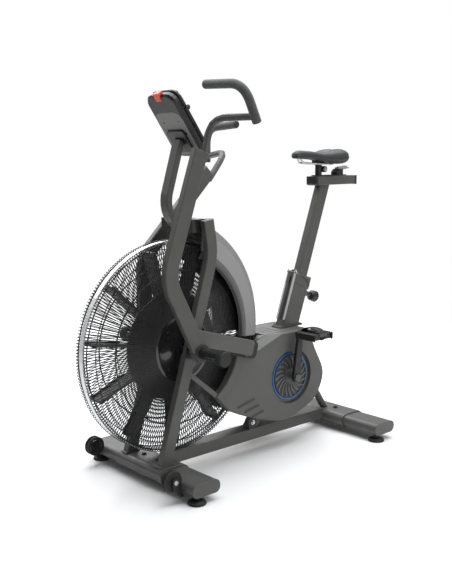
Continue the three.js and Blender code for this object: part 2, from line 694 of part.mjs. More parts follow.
function makeCover(side) {
  const shell = sideSlab(side, polygon(coverLine), COVER_INNER, COVER_OUTER, 3);
  const hollow = sideSlab(side, polygon(inset(coverLine, COVER_WALL)),
    COVER_INNER - 1, COVER_OUTER - COVER_WALL);
  const recess = sideRod(side, CRANK_X, CRANK_Z, DISH_FLOOR + 4, COVER_OUTER + 1, DISH_RADIUS, 40);
  const hole = CRANK_AXLE_RADIUS + 1.5;
  const dish = turned(side, CRANK_X, CRANK_Z, [
    [hole, DISH_FLOOR], [DISH_RADIUS + 4, DISH_FLOOR], [DISH_RADIUS + 4, COVER_OUTER - 2],
    [DISH_RADIUS, COVER_OUTER - 2], [DISH_RADIUS, DISH_FLOOR + 4], [hole, DISH_FLOOR + 4],
    [hole, DISH_FLOOR],
  ], 40);
  return join(shell
    .subtract(aboveShoulder(side, 0))
    .subtract(hollow.subtract(aboveShoulder(side, COVER_WALL)))
    .subtract(recess), dish);
}

// On the right the cover reaches forward over the belt, as far as the fan's pulley.
function beltOutline(clearance) {
  return around(CRANK_X, CRANK_Z, DRIVE_PULLEY_RADIUS + clearance,
    FAN_X, FAN_Z, FAN_PULLEY_RADIUS + clearance, 24);
}

function nearFan(radius) {
  return sideRod(RIGHT, FAN_X, FAN_Z, COVER_INNER - 2, LEG_INNER, radius, 48);
}

const guardWall = sideSlab(RIGHT, beltOutline(12), COVER_INNER, LEG_INNER - 2 * GAP);
const guardHollow = sideSlab(RIGHT, beltOutline(9), COVER_INNER - 1, DISH_FLOOR);
const guardedCover = join(makeCover(RIGHT), guardWall.intersect(nearFan(GUARD_REACH)))
  .subtract(guardHollow.intersect(nearFan(GUARD_REACH + 6)))
  .subtract(sideRod(RIGHT, FAN_X, FAN_Z, COVER_INNER, LEG_INNER, AXLE_RADIUS + 1));

housing.add(part('left_cover', makeCover(LEFT), shellPlastic));
housing.add(part('right_cover', guardedCover, shellPlastic));

// ---------------------------------------------------------------- seat tube line

const seatAlong = new THREE.Vector2(SEAT_LEAN, 1).normalize();
const seatAcross = new THREE.Vector2(seatAlong.y, -seatAlong.x); // towards the back

// The point of the seat tube's centre line at a height.
function seatPoint(z) {
  return [SEAT_FOOT_X + SEAT_LEAN * (z - DECK_Z), z];
}

// A point given by a distance from the knob's foot on the centre line, square to the tube.
function knobPoint(distance) {
  const [x, z] = seatPoint(KNOB_Z);
  return [x + seatAcross.x * distance, 0, z + seatAcross.y * distance];
}

function seatStrip(low, high, depth, width, bevel = 0, shift = 0) {
  const line = [seatPoint(low), seatPoint(high)].map(([x, z]) => (
    [x + seatAcross.x * shift, z + seatAcross.y * shift]));
  return slab(ribbon(line, depth), -width / 2, width / 2, bevel);
}

const postBore = seatStrip(SEAT_TUBE_BOTTOM - 60, SEAT_TUBE_TOP + 60,
  SEAT_POST_DEPTH + 2 * RUNNING_GAP, SEAT_POST_WIDTH + 2 * RUNNING_GAP);

// ---------------------------------------------------------------- band between the covers

const bandHalf = COVER_INNER - GAP;
const strutAxis = [[REAR_STRUT_FOOT[0], 0, REAR_STRUT_FOOT[1]], [REAR_STRUT_HEAD[0], 0, REAR_STRUT_HEAD[1]]];
const frontStrutLine = ribbon([FRONT_STRUT_FOOT, FRONT_STRUT_HEAD], FRONT_STRUT_DEPTH);
const frontStrutHole = ribbon([FRONT_STRUT_FOOT, FRONT_STRUT_HEAD], FRONT_STRUT_DEPTH + 2 * GAP);
const strutHalf = FRONT_STRUT_WIDTH / 2;
housing.add(part('housing_band', slab(polygon(bandLine), -bandHalf, bandHalf)
  .subtract(slab(polygon(inset(bandLine, COVER_WALL)), -bandHalf - 1, bandHalf + 1))
  .subtract(seatStrip(380, 500, SEAT_TUBE_DEPTH + 2 * GAP, SEAT_TUBE_WIDTH + 2 * GAP, 0, SEAT_TUBE_SHIFT))
  .subtract(slab(frontStrutHole, -strutHalf - GAP, strutHalf + GAP))
  .subtract(rod(...strutAxis, REAR_STRUT_RADIUS + GAP, 20)), shellPlastic));

// ---------------------------------------------------------------- bottom bracket and struts

const shell = turned(RIGHT, CRANK_X, CRANK_Z, [
  [CRANK_AXLE_RADIUS + RUNNING_GAP, -BRACKET_HALF], [BRACKET_RADIUS, -BRACKET_HALF],
  [BRACKET_RADIUS, BRACKET_HALF], [CRANK_AXLE_RADIUS + RUNNING_GAP, BRACKET_HALF],
  [CRANK_AXLE_RADIUS + RUNNING_GAP, -BRACKET_HALF],
], 28);
const frontStrut = slab(frontStrutLine, -strutHalf, strutHalf, 3)
  .subtract(box(400, 600, -60, 60, 0, BEAM_TOP + GAP))
  .subtract(sideRod(LEFT, CRANK_X, CRANK_Z, -60, 60, BRACKET_RADIUS - 4, 28));
const structure = new THREE.Group();
bike.add(structure);
structure.add(part('bottom_bracket', join(shell, frontStrut), framePaint));

const rearSleeve = slab(ovalSection(REAR_STABILIZER_X, SLEEVE_WALL + GAP), -60, 60);
structure.add(part('rear_strut', rod(...strutAxis, REAR_STRUT_RADIUS, 20)
  .subtract(rearSleeve)
  .subtract(seatStrip(300, 500, SEAT_TUBE_DEPTH + 2 * GAP, SEAT_TUBE_WIDTH, 0, SEAT_TUBE_SHIFT)), framePaint));

const tubeBarrel = seatStrip(
  SEAT_TUBE_BOTTOM, SEAT_TUBE_TOP, SEAT_TUBE_DEPTH, SEAT_TUBE_WIDTH, 7, SEAT_TUBE_SHIFT);
const collar = seatStrip(
  SEAT_TUBE_TOP - 42, SEAT_TUBE_TOP + 3, SEAT_TUBE_DEPTH + 7, SEAT_TUBE_WIDTH + 2, 7, SEAT_TUBE_SHIFT + 3);
const knobBoss = rod(knobPoint(30), knobPoint(SEAT_TUBE_DEPTH / 2 + 9), 13);
const knobHole = rod(knobPoint(0), knobPoint(SEAT_TUBE_DEPTH / 2 + 20), KNOB_PIN_RADIUS + GAP);
structure.add(part('seat_tube',
  join(tubeBarrel, collar, knobBoss).subtract(postBore).subtract(knobHole), framePaint));

const pinStart = SEAT_POST_DEPTH / 2 + 1;
structure.add(part('seat_knob', join(
  rod(knobPoint(pinStart), knobPoint(KNOB_DISTANCE), KNOB_PIN_RADIUS, 14),
  rod(knobPoint(SEAT_TUBE_DEPTH / 2 + 10), knobPoint(KNOB_DISTANCE - 16), 9, 14),
  rod(knobPoint(KNOB_DISTANCE - 20), knobPoint(KNOB_DISTANCE - 13), 12, 18, 20),
  rod(knobPoint(KNOB_DISTANCE - 13), knobPoint(KNOB_DISTANCE + 10), 20, 18, 22),
  rod(knobPoint(KNOB_DISTANCE + 10), knobPoint(KNOB_DISTANCE + 17), 22, 18, 16)), blackPlastic));

// ---------------------------------------------------------------- seat post, rail and saddle

const seat = new THREE.Group();
bike.add(seat);

seat.add(part('seat_post', seatStrip(SEAT_POST_FOOT, RAIL_TOP, SEAT_POST_DEPTH, SEAT_POST_WIDTH, 5)
  .subtract(box(700, 1000, -60, 60, RAIL_BOTTOM - GAP, RAIL_TOP + 60)), framePaint));
const railHalf = RAIL_WIDTH / 2;
seat.add(part('seat_rail', slab(polygon([
  [RAIL_FRONT + 6, RAIL_BOTTOM], [RAIL_BACK - 10, RAIL_BOTTOM], [RAIL_BACK, RAIL_BOTTOM + 7],
  [RAIL_BACK, RAIL_TOP], [RAIL_FRONT, RAIL_TOP], [RAIL_FRONT, RAIL_BOTTOM + 5],
]), -railHalf, railHalf, 2), framePaint));

const plateBottom = RAIL_TOP + GAP;
const shoe = box(CARRIAGE_FRONT, CARRIAGE_BACK, -20, 20, plateBottom, plateBottom + 4);
const stem = rod([STEM_X, 0, plateBottom], [STEM_X, 0, SADDLE_PAD_Z - GAP], 13, 20);
const clampEye = rod([STEM_X + 17, -20, 1034], [STEM_X + 17, 20, 1034], 12, 20);
const clampBlock = slab(polygon([[CLAMP_X - 20, plateBottom], [CLAMP_X + 17, plateBottom],
  [CLAMP_X + 17, CLAMP_TOP], [CLAMP_X - 8, CLAMP_TOP], [CLAMP_X - 24, CLAMP_TOP - 14]]), -14, 14, 2);
const clampBolt = rod([CLAMP_X, 0, CLAMP_TOP - 5], [CLAMP_X, 0, CLAMP_TOP + 8], 5, 14);
seat.add(part('seat_carriage', join(shoe, stem, clampEye, clampBlock, clampBolt), blackPlastic));

const leverLow = CLAMP_TOP + GAP;
const leverHigh = leverLow + 5;
seat.add(part('rail_lever', join(
  rod([CLAMP_X, 0, leverLow], [CLAMP_X, 0, leverHigh], 13, 20),
  box(CLAMP_X, CLAMP_X + 56, -8, 8, leverLow, leverHigh))
  .subtract(rod([CLAMP_X, 0, leverLow - 2], [CLAMP_X, 0, leverHigh + 2], 5.4, 16)), steel));

const saddlePlan = smooth([
  [712, 0], [718, 17], [740, 24], [790, 28], [835, 40], [880, 61],
  [915, 73], [942, 70], [965, 54], [979, 30], [984, 0],
], 26);
const mirroredPlan = saddlePlan.slice(1, -1).reverse().map(([x, y]) => [x, -y]);
const saddleSide = polygon(smooth([
  [712, 1082], [716, 1074], [800, 1071], [850, 1063], [900, 1052], [950, 1050], [978, 1062], [986, 1084],
  [974, 1104], [936, 1113], [895, 1111], [868, 1104], [841, 1099], [780, 1105], [735, 1106], [717, 1099],
], 40));
const planBlock = new THREE.ExtrudeGeometry(polygon([...saddlePlan, ...mirroredPlan]), {
  depth: 40, bevelEnabled: true, bevelThickness: 14, bevelSize: 14, bevelOffset: -14, bevelSegments: 3,
});
planBlock.translate(0, 0, 1048 + 14);
const saddlePad = box(STEM_X - 22, STEM_X + 26, -16, 16, SADDLE_PAD_Z, SADDLE_PAD_Z + 20);
seat.add(part('saddle', join(
  toSolid(planBlock).intersect(slab(saddleSide, -100, 100)), saddlePad), saddleSkin));

// ---------------------------------------------------------------- drive

const drive = new THREE.Group();
drive.position.set(CRANK_X, 0, CRANK_Z);
bike.add(drive);

const driveBore = CRANK_AXLE_RADIUS + GAP;
drive.add(part('crank_axle',
  rod([0, -CRANK_AXLE_END, 0], [0, CRANK_AXLE_END, 0], CRANK_AXLE_RADIUS, 20), steel));
const rim = DRIVE_PULLEY_RADIUS + 4;
drive.add(part('drive_pulley', turned(RIGHT, 0, 0, [
  [driveBore, BELT_INNER], [rim, BELT_INNER], [rim, BELT_INNER + 1.2],
  [DRIVE_PULLEY_RADIUS, BELT_INNER + 1.4], [DRIVE_PULLEY_RADIUS, BELT_OUTER - 1.4],
  [rim, BELT_OUTER - 1.2], [rim, BELT_OUTER], [driveBore, BELT_OUTER], [driveBore, BELT_INNER],
], 40), blackPlastic));

function beltLoop(clearance, near, far) {
  return sideSlab(RIGHT, around(0, 0, DRIVE_PULLEY_RADIUS + clearance,
    FAN_X - CRANK_X, FAN_Z - CRANK_Z, FAN_PULLEY_RADIUS + clearance, 32), near, far);
}

const beltNear = BELT_INNER + 2;
const beltFar = BELT_OUTER - 2;
drive.add(part('belt', beltLoop(RUNNING_GAP + BELT_THICKNESS, beltNear, beltFar)
  .subtract(beltLoop(RUNNING_GAP, beltNear - 1, beltFar + 1)), rubber));

function makeTurbine(side) {
  const disc = turned(side, 0, 0, [
    [driveBore, TURBINE_INNER], [TURBINE_RADIUS, TURBINE_INNER], [TURBINE_RADIUS, TURBINE_INNER + 7],
    [TURBINE_RADIUS - 4, TURBINE_INNER + 7], [TURBINE_RADIUS - 5, TURBINE_INNER + 2],
    [34, TURBINE_INNER + 2], [26, TURBINE_INNER + 8], [driveBore, TURBINE_INNER + 8],
    [driveBore, TURBINE_INNER],
  ], 24);
  const fin = new THREE.BoxGeometry(TURBINE_RADIUS - 36, 5, 2);
  fin.translate((TURBINE_RADIUS + 28) / 2, side * (TURBINE_INNER + 3.5), 0);
  const fins = Array.from({ length: TURBINE_FINS }, (_, i) => (
    toSolid(fin.clone().rotateY(i * 2 * Math.PI / TURBINE_FINS))));
  return join(disc, ...fins);
}

function crankEnd(side) {
  const lean = THREE.MathUtils.degToRad(CRANK_LEAN);
  const reach = side === LEFT ? CRANK_LENGTH : -CRANK_LENGTH;
  return [reach * Math.sin(lean), reach * Math.cos(lean)];
}

function makeCrank(side) {
  const [x, z] = crankEnd(side);
  const arm = sideSlab(side, around(0, 0, 18, x, z, 12, 10), CRANK_INNER, CRANK_OUTER, 2);
  const spindle = sideRod(side, x, z, CRANK_OUTER - 2, PEDAL_OUTER - 4, SPINDLE_RADIUS, 16);
  const hole = sideRod(side, 0, 0, CRANK_INNER - 5, CRANK_OUTER + 5, driveBore, 20);
  return join(arm.subtract(hole), spindle);
}

function makePedal(side) {
  const [x, z] = crankEnd(side);
  const half = PEDAL_LENGTH / 2;
  const outline = polygon([[x - half, z - 9], [x - half + 5, z - 12], [x + half - 5, z - 12],
    [x + half, z - 9], [x + half, z + 9], [x + half - 5, z + 12], [x - half + 5, z + 12],
    [x - half, z + 9]]);
  return sideSlab(side, outline, PEDAL_INNER, PEDAL_OUTER, 3)
    .subtract(sideRod(side, x, z, PEDAL_INNER - 5, PEDAL_OUTER + 5, SPINDLE_RADIUS + RUNNING_GAP, 18));
}

for (const [name, side] of [['left', LEFT], ['right', RIGHT]]) {
  drive.add(part(`${name}_turbine`, makeTurbine(side), blackPlastic));
  drive.add(part(`${name}_crank`, makeCrank(side), blackPlastic));
  drive.add(part(`${name}_pedal`, makePedal(side), blackPlastic));
}

// ---------------------------------------------------------------- levers, grips, pegs and side bars

const leverLine = [[FAN_X, FAN_Z], [20, 654], ...bend([12, 671], [0, 710], [12, 757], 4), [135, 1107]];
const leverMiddle = (LEVER_INNER + LEVER_OUTER) / 2;

function makeLever(side) {
  const bar = sideSlab(side, ribbon(leverLine, LEVER_DEPTH), LEVER_INNER, LEVER_OUTER, 3);
  const hub = sideRod(side, FAN_X, FAN_Z, LEVER_INNER, LEVER_OUTER, 32, 24);
  const hole = sideRod(side, FAN_X, FAN_Z, LEVER_INNER - 5, LEVER_OUTER + 5, AXLE_RADIUS + RUNNING_GAP, 20);
  const arm = bentBar([
    [ARM_FOOT[0], side * leverMiddle, ARM_FOOT[1]],
    [ARM_BEND[0], side * leverMiddle, ARM_BEND[1]],
    [GRIP_JOINT[0], side * GRIP_Y, GRIP_JOINT[1]],
  ], HANDLE_TUBE_RADIUS, 58, 12);
  return join(bar, hub, arm).subtract(hole);
}

function makeGrip(side) {
  const bar = bentBar([
    [GRIP_FOOT[0], side * GRIP_Y, GRIP_FOOT[1]],
    [GRIP_CORNER[0], side * GRIP_Y, GRIP_CORNER[1]],
    [GRIP_END[0], side * GRIP_END_Y, GRIP_END[1]],
  ], GRIP_RADIUS, 46, 13, 14);
  const socket = rod([ARM_BEND[0], side * leverMiddle, ARM_BEND[1]],
    [GRIP_JOINT[0], side * (GRIP_Y + 1), GRIP_JOINT[1]], HANDLE_TUBE_RADIUS + 2 * GAP, 20);
  return bar.subtract(socket);
}

function makePeg(side) {
  const bore = AXLE_RADIUS + GAP;
  return turned(side, FAN_X, FAN_Z, [
    [0, PEG_BORE_END], [bore, PEG_BORE_END], [bore, PEG_START], [19, PEG_START], [19, PEG_END - 26],
    [25, PEG_END - 25], [25, PEG_END - 3], [22, PEG_END], [0, PEG_END],
  ], 24);
}

function makeSideBar(side) {
  const slope = Math.atan2(SIDE_BAR_BACK[1] - SIDE_BAR_FRONT[1], SIDE_BAR_BACK[0] - SIDE_BAR_FRONT[0]);
  const length = Math.hypot(SIDE_BAR_BACK[1] - SIDE_BAR_FRONT[1], SIDE_BAR_BACK[0] - SIDE_BAR_FRONT[0]);
  const outline = placed(roundedRectangle(length, SIDE_BAR_HEIGHT, 14),
    (SIDE_BAR_FRONT[0] + SIDE_BAR_BACK[0]) / 2, (SIDE_BAR_FRONT[1] + SIDE_BAR_BACK[1]) / 2, slope);
  const bar = sideSlab(side, outline, SIDE_BAR_INNER, SIDE_BAR_OUTER, 3);
  const legSpacer = sideRod(side, 136, 492, LEG_OUTER + GAP, SIDE_BAR_INNER + 1, 14);
  const coverSpacer = sideRod(side, 366, 402, COVER_OUTER + GAP, SIDE_BAR_INNER + 1, 12);
  return join(bar, legSpacer, coverSpacer);
}

for (const [name, side] of [['left', LEFT], ['right', RIGHT]]) {
  const pivot = new THREE.Group();
  pivot.position.set(FAN_X, 0, FAN_Z);
  pivot.rotation.y = THREE.MathUtils.degToRad(side === RIGHT ? LEVER_SWING : 0);
  bike.add(pivot);
  const arm = new THREE.Group();
  arm.position.set(-FAN_X, 0, -FAN_Z);
  pivot.add(arm);
  arm.add(part(`${name}_lever`, makeLever(side), framePaint));
  arm.add(part(`${name}_grip`, makeGrip(side), foam));
  fork.add(part(`${name}_peg`, makePeg(side), blackPlastic));
  fork.add(part(`${name}_side_bar`, makeSideBar(side), shellPlastic));
}

export default bike;
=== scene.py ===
import json
import math

import bmesh
import bpy
from mathutils import Matrix, Vector


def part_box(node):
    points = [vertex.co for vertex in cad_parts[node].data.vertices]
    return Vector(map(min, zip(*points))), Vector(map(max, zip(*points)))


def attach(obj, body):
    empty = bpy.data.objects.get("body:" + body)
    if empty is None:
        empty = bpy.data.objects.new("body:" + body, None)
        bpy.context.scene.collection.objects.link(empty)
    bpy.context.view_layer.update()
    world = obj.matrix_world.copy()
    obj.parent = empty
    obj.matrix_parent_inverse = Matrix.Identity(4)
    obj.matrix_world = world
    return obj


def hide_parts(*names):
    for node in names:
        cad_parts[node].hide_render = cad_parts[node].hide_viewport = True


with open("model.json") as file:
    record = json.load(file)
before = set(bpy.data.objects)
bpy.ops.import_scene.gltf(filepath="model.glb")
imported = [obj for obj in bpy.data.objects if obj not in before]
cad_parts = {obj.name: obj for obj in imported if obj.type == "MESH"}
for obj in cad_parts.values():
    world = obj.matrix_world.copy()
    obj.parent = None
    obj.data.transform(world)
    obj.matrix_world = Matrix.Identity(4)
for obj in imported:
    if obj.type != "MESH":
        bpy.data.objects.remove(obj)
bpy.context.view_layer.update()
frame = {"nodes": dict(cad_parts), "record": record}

# ---------------------------------------------------------------- dimensions, in millimetres
# X is counted from the front feet towards the rider's back, Y is 0 in the middle plane, Z is height.

MM = 0.001
LEFT, RIGHT = -1, 1
SIDES = (("left", LEFT), ("right", RIGHT))


def centre(node):
    """The middle of a CAD node's box, in metres."""
    low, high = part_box(node)
    return (Vector(low) + Vector(high)) / 2


FEET_X = centre("front_left_foot").x


def at(x, y, z):
    """A point given in millimetres from the front feet's line, in metres in the frame."""
    return Vector((FEET_X + x * MM, y * MM, z * MM))


def plain(point):
    """The same, the other way round: a frame point in millimetres from the front feet's line."""
    return (point[0] - FEET_X) / MM, point[1] / MM, point[2] / MM


FAN_X, _, FAN_Z = plain(centre("cage_ring"))
CRANK_X, _, CRANK_Z = plain(centre("crank_axle"))
SHROUD_X, SHROUD_Z = 92, 491

BLADES = 11
FIRST_BLADE = 7  # degrees from the axle's rear side
BLADE_TIP = 338
BLADE_ROOT = 60
LIP_START = 196
BLADE_HALF_WIDTH = 31

HUB_RADIUS = 114
WIRES = 216
WIRE_RADIUS = 1.6
# One wire from the rim to the hub plate: radius, and distance from the middle plane.
WIRE_LINE = [(356, 8), (359, 13), (362.5, 19), (362.5, 26), (357, 31.5), (345, 35), (305, 43), (262, 50),
             (190, 56), (108, 60)]
# The hoops under the wires: radius, distance from the middle plane and thickness.
HOOPS = ((355, 24.5, 2.2), (328, 35.5, 1.6), (262, 47.5, 2.4), (190, 53.6, 1.6))

DISH_RADIUS = 103
DISH_FLOOR = 84.5
BLUE_RADIUS = 87

DECK_Z = 441
SEAT_LEAN = 0.36
SEAT_FOOT_X = 681
TUBE_SHIFT = -3
TUBE_HALF_WIDTH = 22
RAIL_FRONT, RAIL_BACK = 812, 1046
RAIL_BOTTOM, RAIL_TOP = 973, 1007

GRIP_RADIUS = 15
GRIP_Y = 311
GRIP_LINE = [(235, GRIP_Y, 1188), (179, GRIP_Y, 1306), (173, 134, 1314)]
RIGHT_SWING = math.radians(26)

CONSOLE_X, CONSOLE_Z = 164, 1194

CAMERA_PLACE = (-1591, -2256.5, 1090)
CAMERA_FORWARD = (0.6475, 0.7452, -0.1597)
CAMERA_RIGHT = (0.7548, -0.6560, 0)
CAMERA_ROLL = -0.0097
CAMERA_LENS = 52.08
FLOOR_REACH = 2.6  # metres, each way from the middle

# ---------------------------------------------------------------- materials


class Nodes:
    """A material's node tree, with the few connections that every finish here needs."""

    def __init__(self, name):
        self.material = bpy.data.materials.new(name)
        self.material.use_nodes = True
        self.tree = self.material.node_tree
        self.shader = self.tree.nodes["Principled BSDF"]
        self.place = self.add("ShaderNodeTexCoord").outputs["Object"]

    def add(self, kind, **settings):
        node = self.tree.nodes.new(kind)
        for key, value in settings.items():
            setattr(node, key, value)
        return node

    def link(self, start, end):
        self.tree.links.new(start, end)

    def noise(self, scale, detail=3.0, stretch=None):
        node = self.add("ShaderNodeTexNoise")
        node.inputs["Scale"].default_value = scale
        node.inputs["Detail"].default_value = detail
        source = self.place
        if stretch:
            mapping = self.add("ShaderNodeMapping")
            mapping.inputs["Scale"].default_value = stretch
            self.link(self.place, mapping.inputs["Vector"])
            source = mapping.outputs["Vector"]
        self.link(source, node.inputs["Vector"])
        return node.outputs["Fac"]

    def ramp(self, source, stops):
        node = self.add("ShaderNodeValToRGB")
        elements = node.color_ramp.elements
        while len(elements) < len(stops):
            elements.new(0.5)
        for element, (position, colour) in zip(elements, stops):
            element.position = position
            element.color = (*colour, 1)
        self.link(source, node.inputs["Fac"])
        return node.outputs["Color"]

    def spread(self, source, low, high):
        node = self.add("ShaderNodeMapRange")
        node.inputs["From Min"].default_value = 0.3
        node.inputs["From Max"].default_value = 0.7
        node.inputs["To Min"].default_value = low
        node.inputs["To Max"].default_value = high
        self.link(source, node.inputs["Value"])
        return node.outputs["Result"]

    def bump(self, *layers):
        """Layers of (height, strength, depth in mm), each on top of the last."""
        normal = None
        for height, strength, depth in layers:
            node = self.add("ShaderNodeBump")
            node.inputs["Strength"].default_value = strength
            node.inputs["Distance"].default_value = depth * MM
            self.link(height, node.inputs["Height"])
            if normal:
                self.link(normal, node.inputs["Normal"])
            normal = node.outputs["Normal"]
        self.link(normal, self.shader.inputs["Normal"])

    def set(self, **values):
        for key, value in values.items():
            self.shader.inputs[key.replace("_", " ")].default_value = value


def shade(colour, factor):
    """A colour made lighter or darker."""
    return tuple(min(1.0, c * factor) for c in colour)


def finish_of(name, colour, rough, metal=0.0, grain=900, depth=0.06, variation=0.08, smudge=9, coat=0.0):
    """A painted or moulded surface: fine grain, slow colour and gloss variation."""
    n = Nodes(name)
    slow = n.noise(smudge, 4.0)
    fine = n.noise(grain, 2.0)
    n.link(n.ramp(slow, [(0.3, shade(colour, 1 - variation)), (0.7, shade(colour, 1 + variation))]),
           n.shader.inputs["Base Color"])
    n.link(n.spread(n.noise(smudge * 4, 5.0), rough - 0.05, rough + 0.06), n.shader.inputs["Roughness"])
    n.bump((fine, 0.5, depth))
    n.set(Metallic=metal, Coat_Weight=coat)
    return n.material


def shroud_finish():
    """Light moulded plastic with a darker turned-in rim on the inside, told apart by radius."""
    n = Nodes("shroud_plastic")
    mapping = n.add("ShaderNodeMapping")
    hub = at(SHROUD_X, 0, SHROUD_Z)
    mapping.inputs["Location"].default_value = (-hub.x, 0, -hub.z)
    mapping.inputs["Scale"].default_value = (1, 0, 1)
    n.link(n.place, mapping.inputs["Vector"])
    length = n.add("ShaderNodeVectorMath", operation="LENGTH")
    n.link(mapping.outputs["Vector"], length.inputs[0])
    scaled = n.add("ShaderNodeMapRange")
    scaled.inputs["From Min"].default_value = 0.27
    scaled.inputs["From Max"].default_value = 0.41
    n.link(length.outputs["Value"], scaled.inputs["Value"])
    dark, light, rim = (0.085, 0.085, 0.083), (0.22, 0.22, 0.217), (0.13, 0.13, 0.128)
    bands = n.ramp(scaled.outputs["Result"], [
        (0.0, dark), (0.235, dark), (0.25, light), (0.67, light), (0.69, rim), (1.0, rim)])
    n.link(bands, n.shader.inputs["Base Color"])
    n.link(n.spread(n.noise(30), 0.4, 0.5), n.shader.inputs["Roughness"])
    n.bump((n.noise(1100, 2.0), 0.5, 0.05))
    return n.material


def metal_finish(name, colour, rough, metal=1.0, brushed=(1, 30, 1)):
    """Bright metal with fine turning marks."""
    n = Nodes(name)
    marks = n.noise(180, 4.0, stretch=brushed)
    n.link(n.ramp(marks, [(0.3, shade(colour, 0.9)), (0.7, shade(colour, 1.05))]),
           n.shader.inputs["Base Color"])
    n.link(n.spread(marks, rough - 0.07, rough + 0.08), n.shader.inputs["Roughness"])
    n.bump((marks, 0.3, 0.03))
    n.set(Metallic=metal)
    return n.material


def foam_finish():
    """Closed-cell foam: small open cells and a soft sheen."""
    n = Nodes("foam")
    cells = n.add("ShaderNodeTexVoronoi")
    cells.inputs["Scale"].default_value = 900
    n.link(n.place, cells.inputs["Vector"])
    n.link(n.ramp(n.noise(40, 5.0), [(0.3, (0.05, 0.05, 0.05)), (0.7, (0.066, 0.066, 0.066))]),
           n.shader.inputs["Base Color"])
    n.bump((cells.outputs["Distance"], 0.6, 0.25), (n.noise(220, 4.0), 0.35, 0.3))
    n.set(Roughness=0.82, Sheen_Weight=0.25, Sheen_Roughness=0.5)
    return n.material


def leather_finish():
    """Dark synthetic leather: creased grain cells, finer pores and a satin sheen."""
    n = Nodes("saddle_skin")
    grain = n.add("ShaderNodeTexVoronoi", feature="DISTANCE_TO_EDGE")
    grain.inputs["Scale"].default_value = 420
    n.link(n.place, grain.inputs["Vector"])
    creases = n.ramp(grain.outputs["Distance"], [(0.0, (0, 0, 0)), (0.2, (1, 1, 1))])
    n.link(n.ramp(n.noise(24, 5.0), [(0.3, (0.016, 0.0165, 0.018)), (0.7, (0.023, 0.0235, 0.025))]),
           n.shader.inputs["Base Color"])
    n.link(n.spread(n.noise(60), 0.48, 0.6), n.shader.inputs["Roughness"])
    n.bump((creases, 0.4, 0.18), (n.noise(1500, 2.0), 0.3, 0.05))
    n.set(Sheen_Weight=0.08, Sheen_Roughness=0.4)
    return n.material


def glass_finish():
    """A dark display window with a hard clear coat."""
    n = Nodes("screen_glass")
    n.link(n.ramp(n.noise(12), [(0.4, (0.008, 0.01, 0.012)), (0.6, (0.012, 0.014, 0.017))]),
           n.shader.inputs["Base Color"])
    n.set(Roughness=0.08, Coat_Weight=0.5, Coat_Roughness=0.03)
    return n.material


def floor_finish():
    """A pale matt floor."""
    n = Nodes("floor")
    n.link(n.ramp(n.noise(1.5), [(0.3, (0.75, 0.75, 0.75)), (0.7, (0.77, 0.77, 0.77))]),
           n.shader.inputs["Base Color"])
    n.set(Roughness=0.9, Specular_IOR_Level=0.1)
    return n.material


FINISH = {
    "frame_paint": finish_of("frame_paint", (0.072, 0.071, 0.068), 0.44, metal=0.1, grain=700),
    "shell_plastic": finish_of("shell_plastic", (0.074, 0.0725, 0.069), 0.46, grain=1100, depth=0.08),
    "shroud_plastic": shroud_finish(),
    "black_plastic": finish_of("black_plastic", (0.011, 0.011, 0.012), 0.42, grain=1000),
    "gloss_black": finish_of("gloss_black", (0.012, 0.012, 0.013), 0.2, grain=500, depth=0.02, coat=0.5),
    "crank_paint": finish_of("crank_paint", (0.007, 0.007, 0.0075), 0.46, grain=600, depth=0.03),
    "rubber": finish_of("rubber", (0.010, 0.010, 0.010), 0.66, grain=1400, depth=0.1),
    "wire_paint": finish_of("wire_paint", (0.013, 0.013, 0.014), 0.38, grain=600, depth=0.02),
    "blade_plastic": finish_of("blade_plastic", (0.040, 0.040, 0.041), 0.45, grain=600),
    "fin_plastic": finish_of("fin_plastic", (0.15, 0.15, 0.148), 0.26, metal=0.3, grain=800, depth=0.03),
    "grey_panel": finish_of("grey_panel", (0.16, 0.158, 0.15), 0.5, grain=1300, depth=0.1),
    # Pale grey that paints the highlight on the seat tube's bevelled front edges.
    "painted_highlight_grey": finish_of("painted_highlight_grey", (0.42, 0.42, 0.41), 0.3, grain=800, depth=0.03),
    "red_plastic": finish_of("red_plastic", (0.75, 0.075, 0.04), 0.4, grain=800, depth=0.03),
    "blue_plastic": finish_of("blue_plastic", (0.035, 0.19, 0.55), 0.3, grain=800, depth=0.02),
    "screen_glass": glass_finish(),
    "steel": metal_finish("steel", (0.56, 0.57, 0.58), 0.28),
    "silver": metal_finish("silver", (0.82, 0.83, 0.84), 0.34, metal=0.35, brushed=(1, 6, 1)),
    "foam": foam_finish(),
    "saddle_skin": leather_finish(),
}

# ---------------------------------------------------------------- mesh helpers


def piece(name, shape, finish, body, smooth=40, bevel=0.0, segments=2):
    """A mesh object in place on its body. shape is (points in metres, faces)."""
    points, faces = shape
    mesh = bpy.data.meshes.new(name)
    mesh.from_pydata([tuple(p) for p in points], [], faces)
    work = bmesh.new()
    work.from_mesh(mesh)
    bmesh.ops.recalc_face_normals(work, faces=work.faces)
    work.to_mesh(mesh)
    work.free()
    mesh.materials.append(FINISH[finish])
    obj = bpy.data.objects.new(name, mesh)
    bpy.context.scene.collection.objects.link(obj)
    if bevel:
        edge = obj.modifiers.new("edge", "BEVEL")
        edge.width = bevel * MM
        edge.segments = segments
        edge.limit_method = "ANGLE"
        edge.angle_limit = math.radians(35)
    mesh.shade_smooth()
    mesh.set_sharp_from_angle(angle=math.radians(smooth))
    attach(obj, body)
    return obj


def joined(*shapes):
    """Several shapes as one."""
    points, faces = [], []
    for more, rings in shapes:
        start = len(points)
        points += more
        faces += [tuple(i + start for i in ring) for ring in rings]
    return points, faces


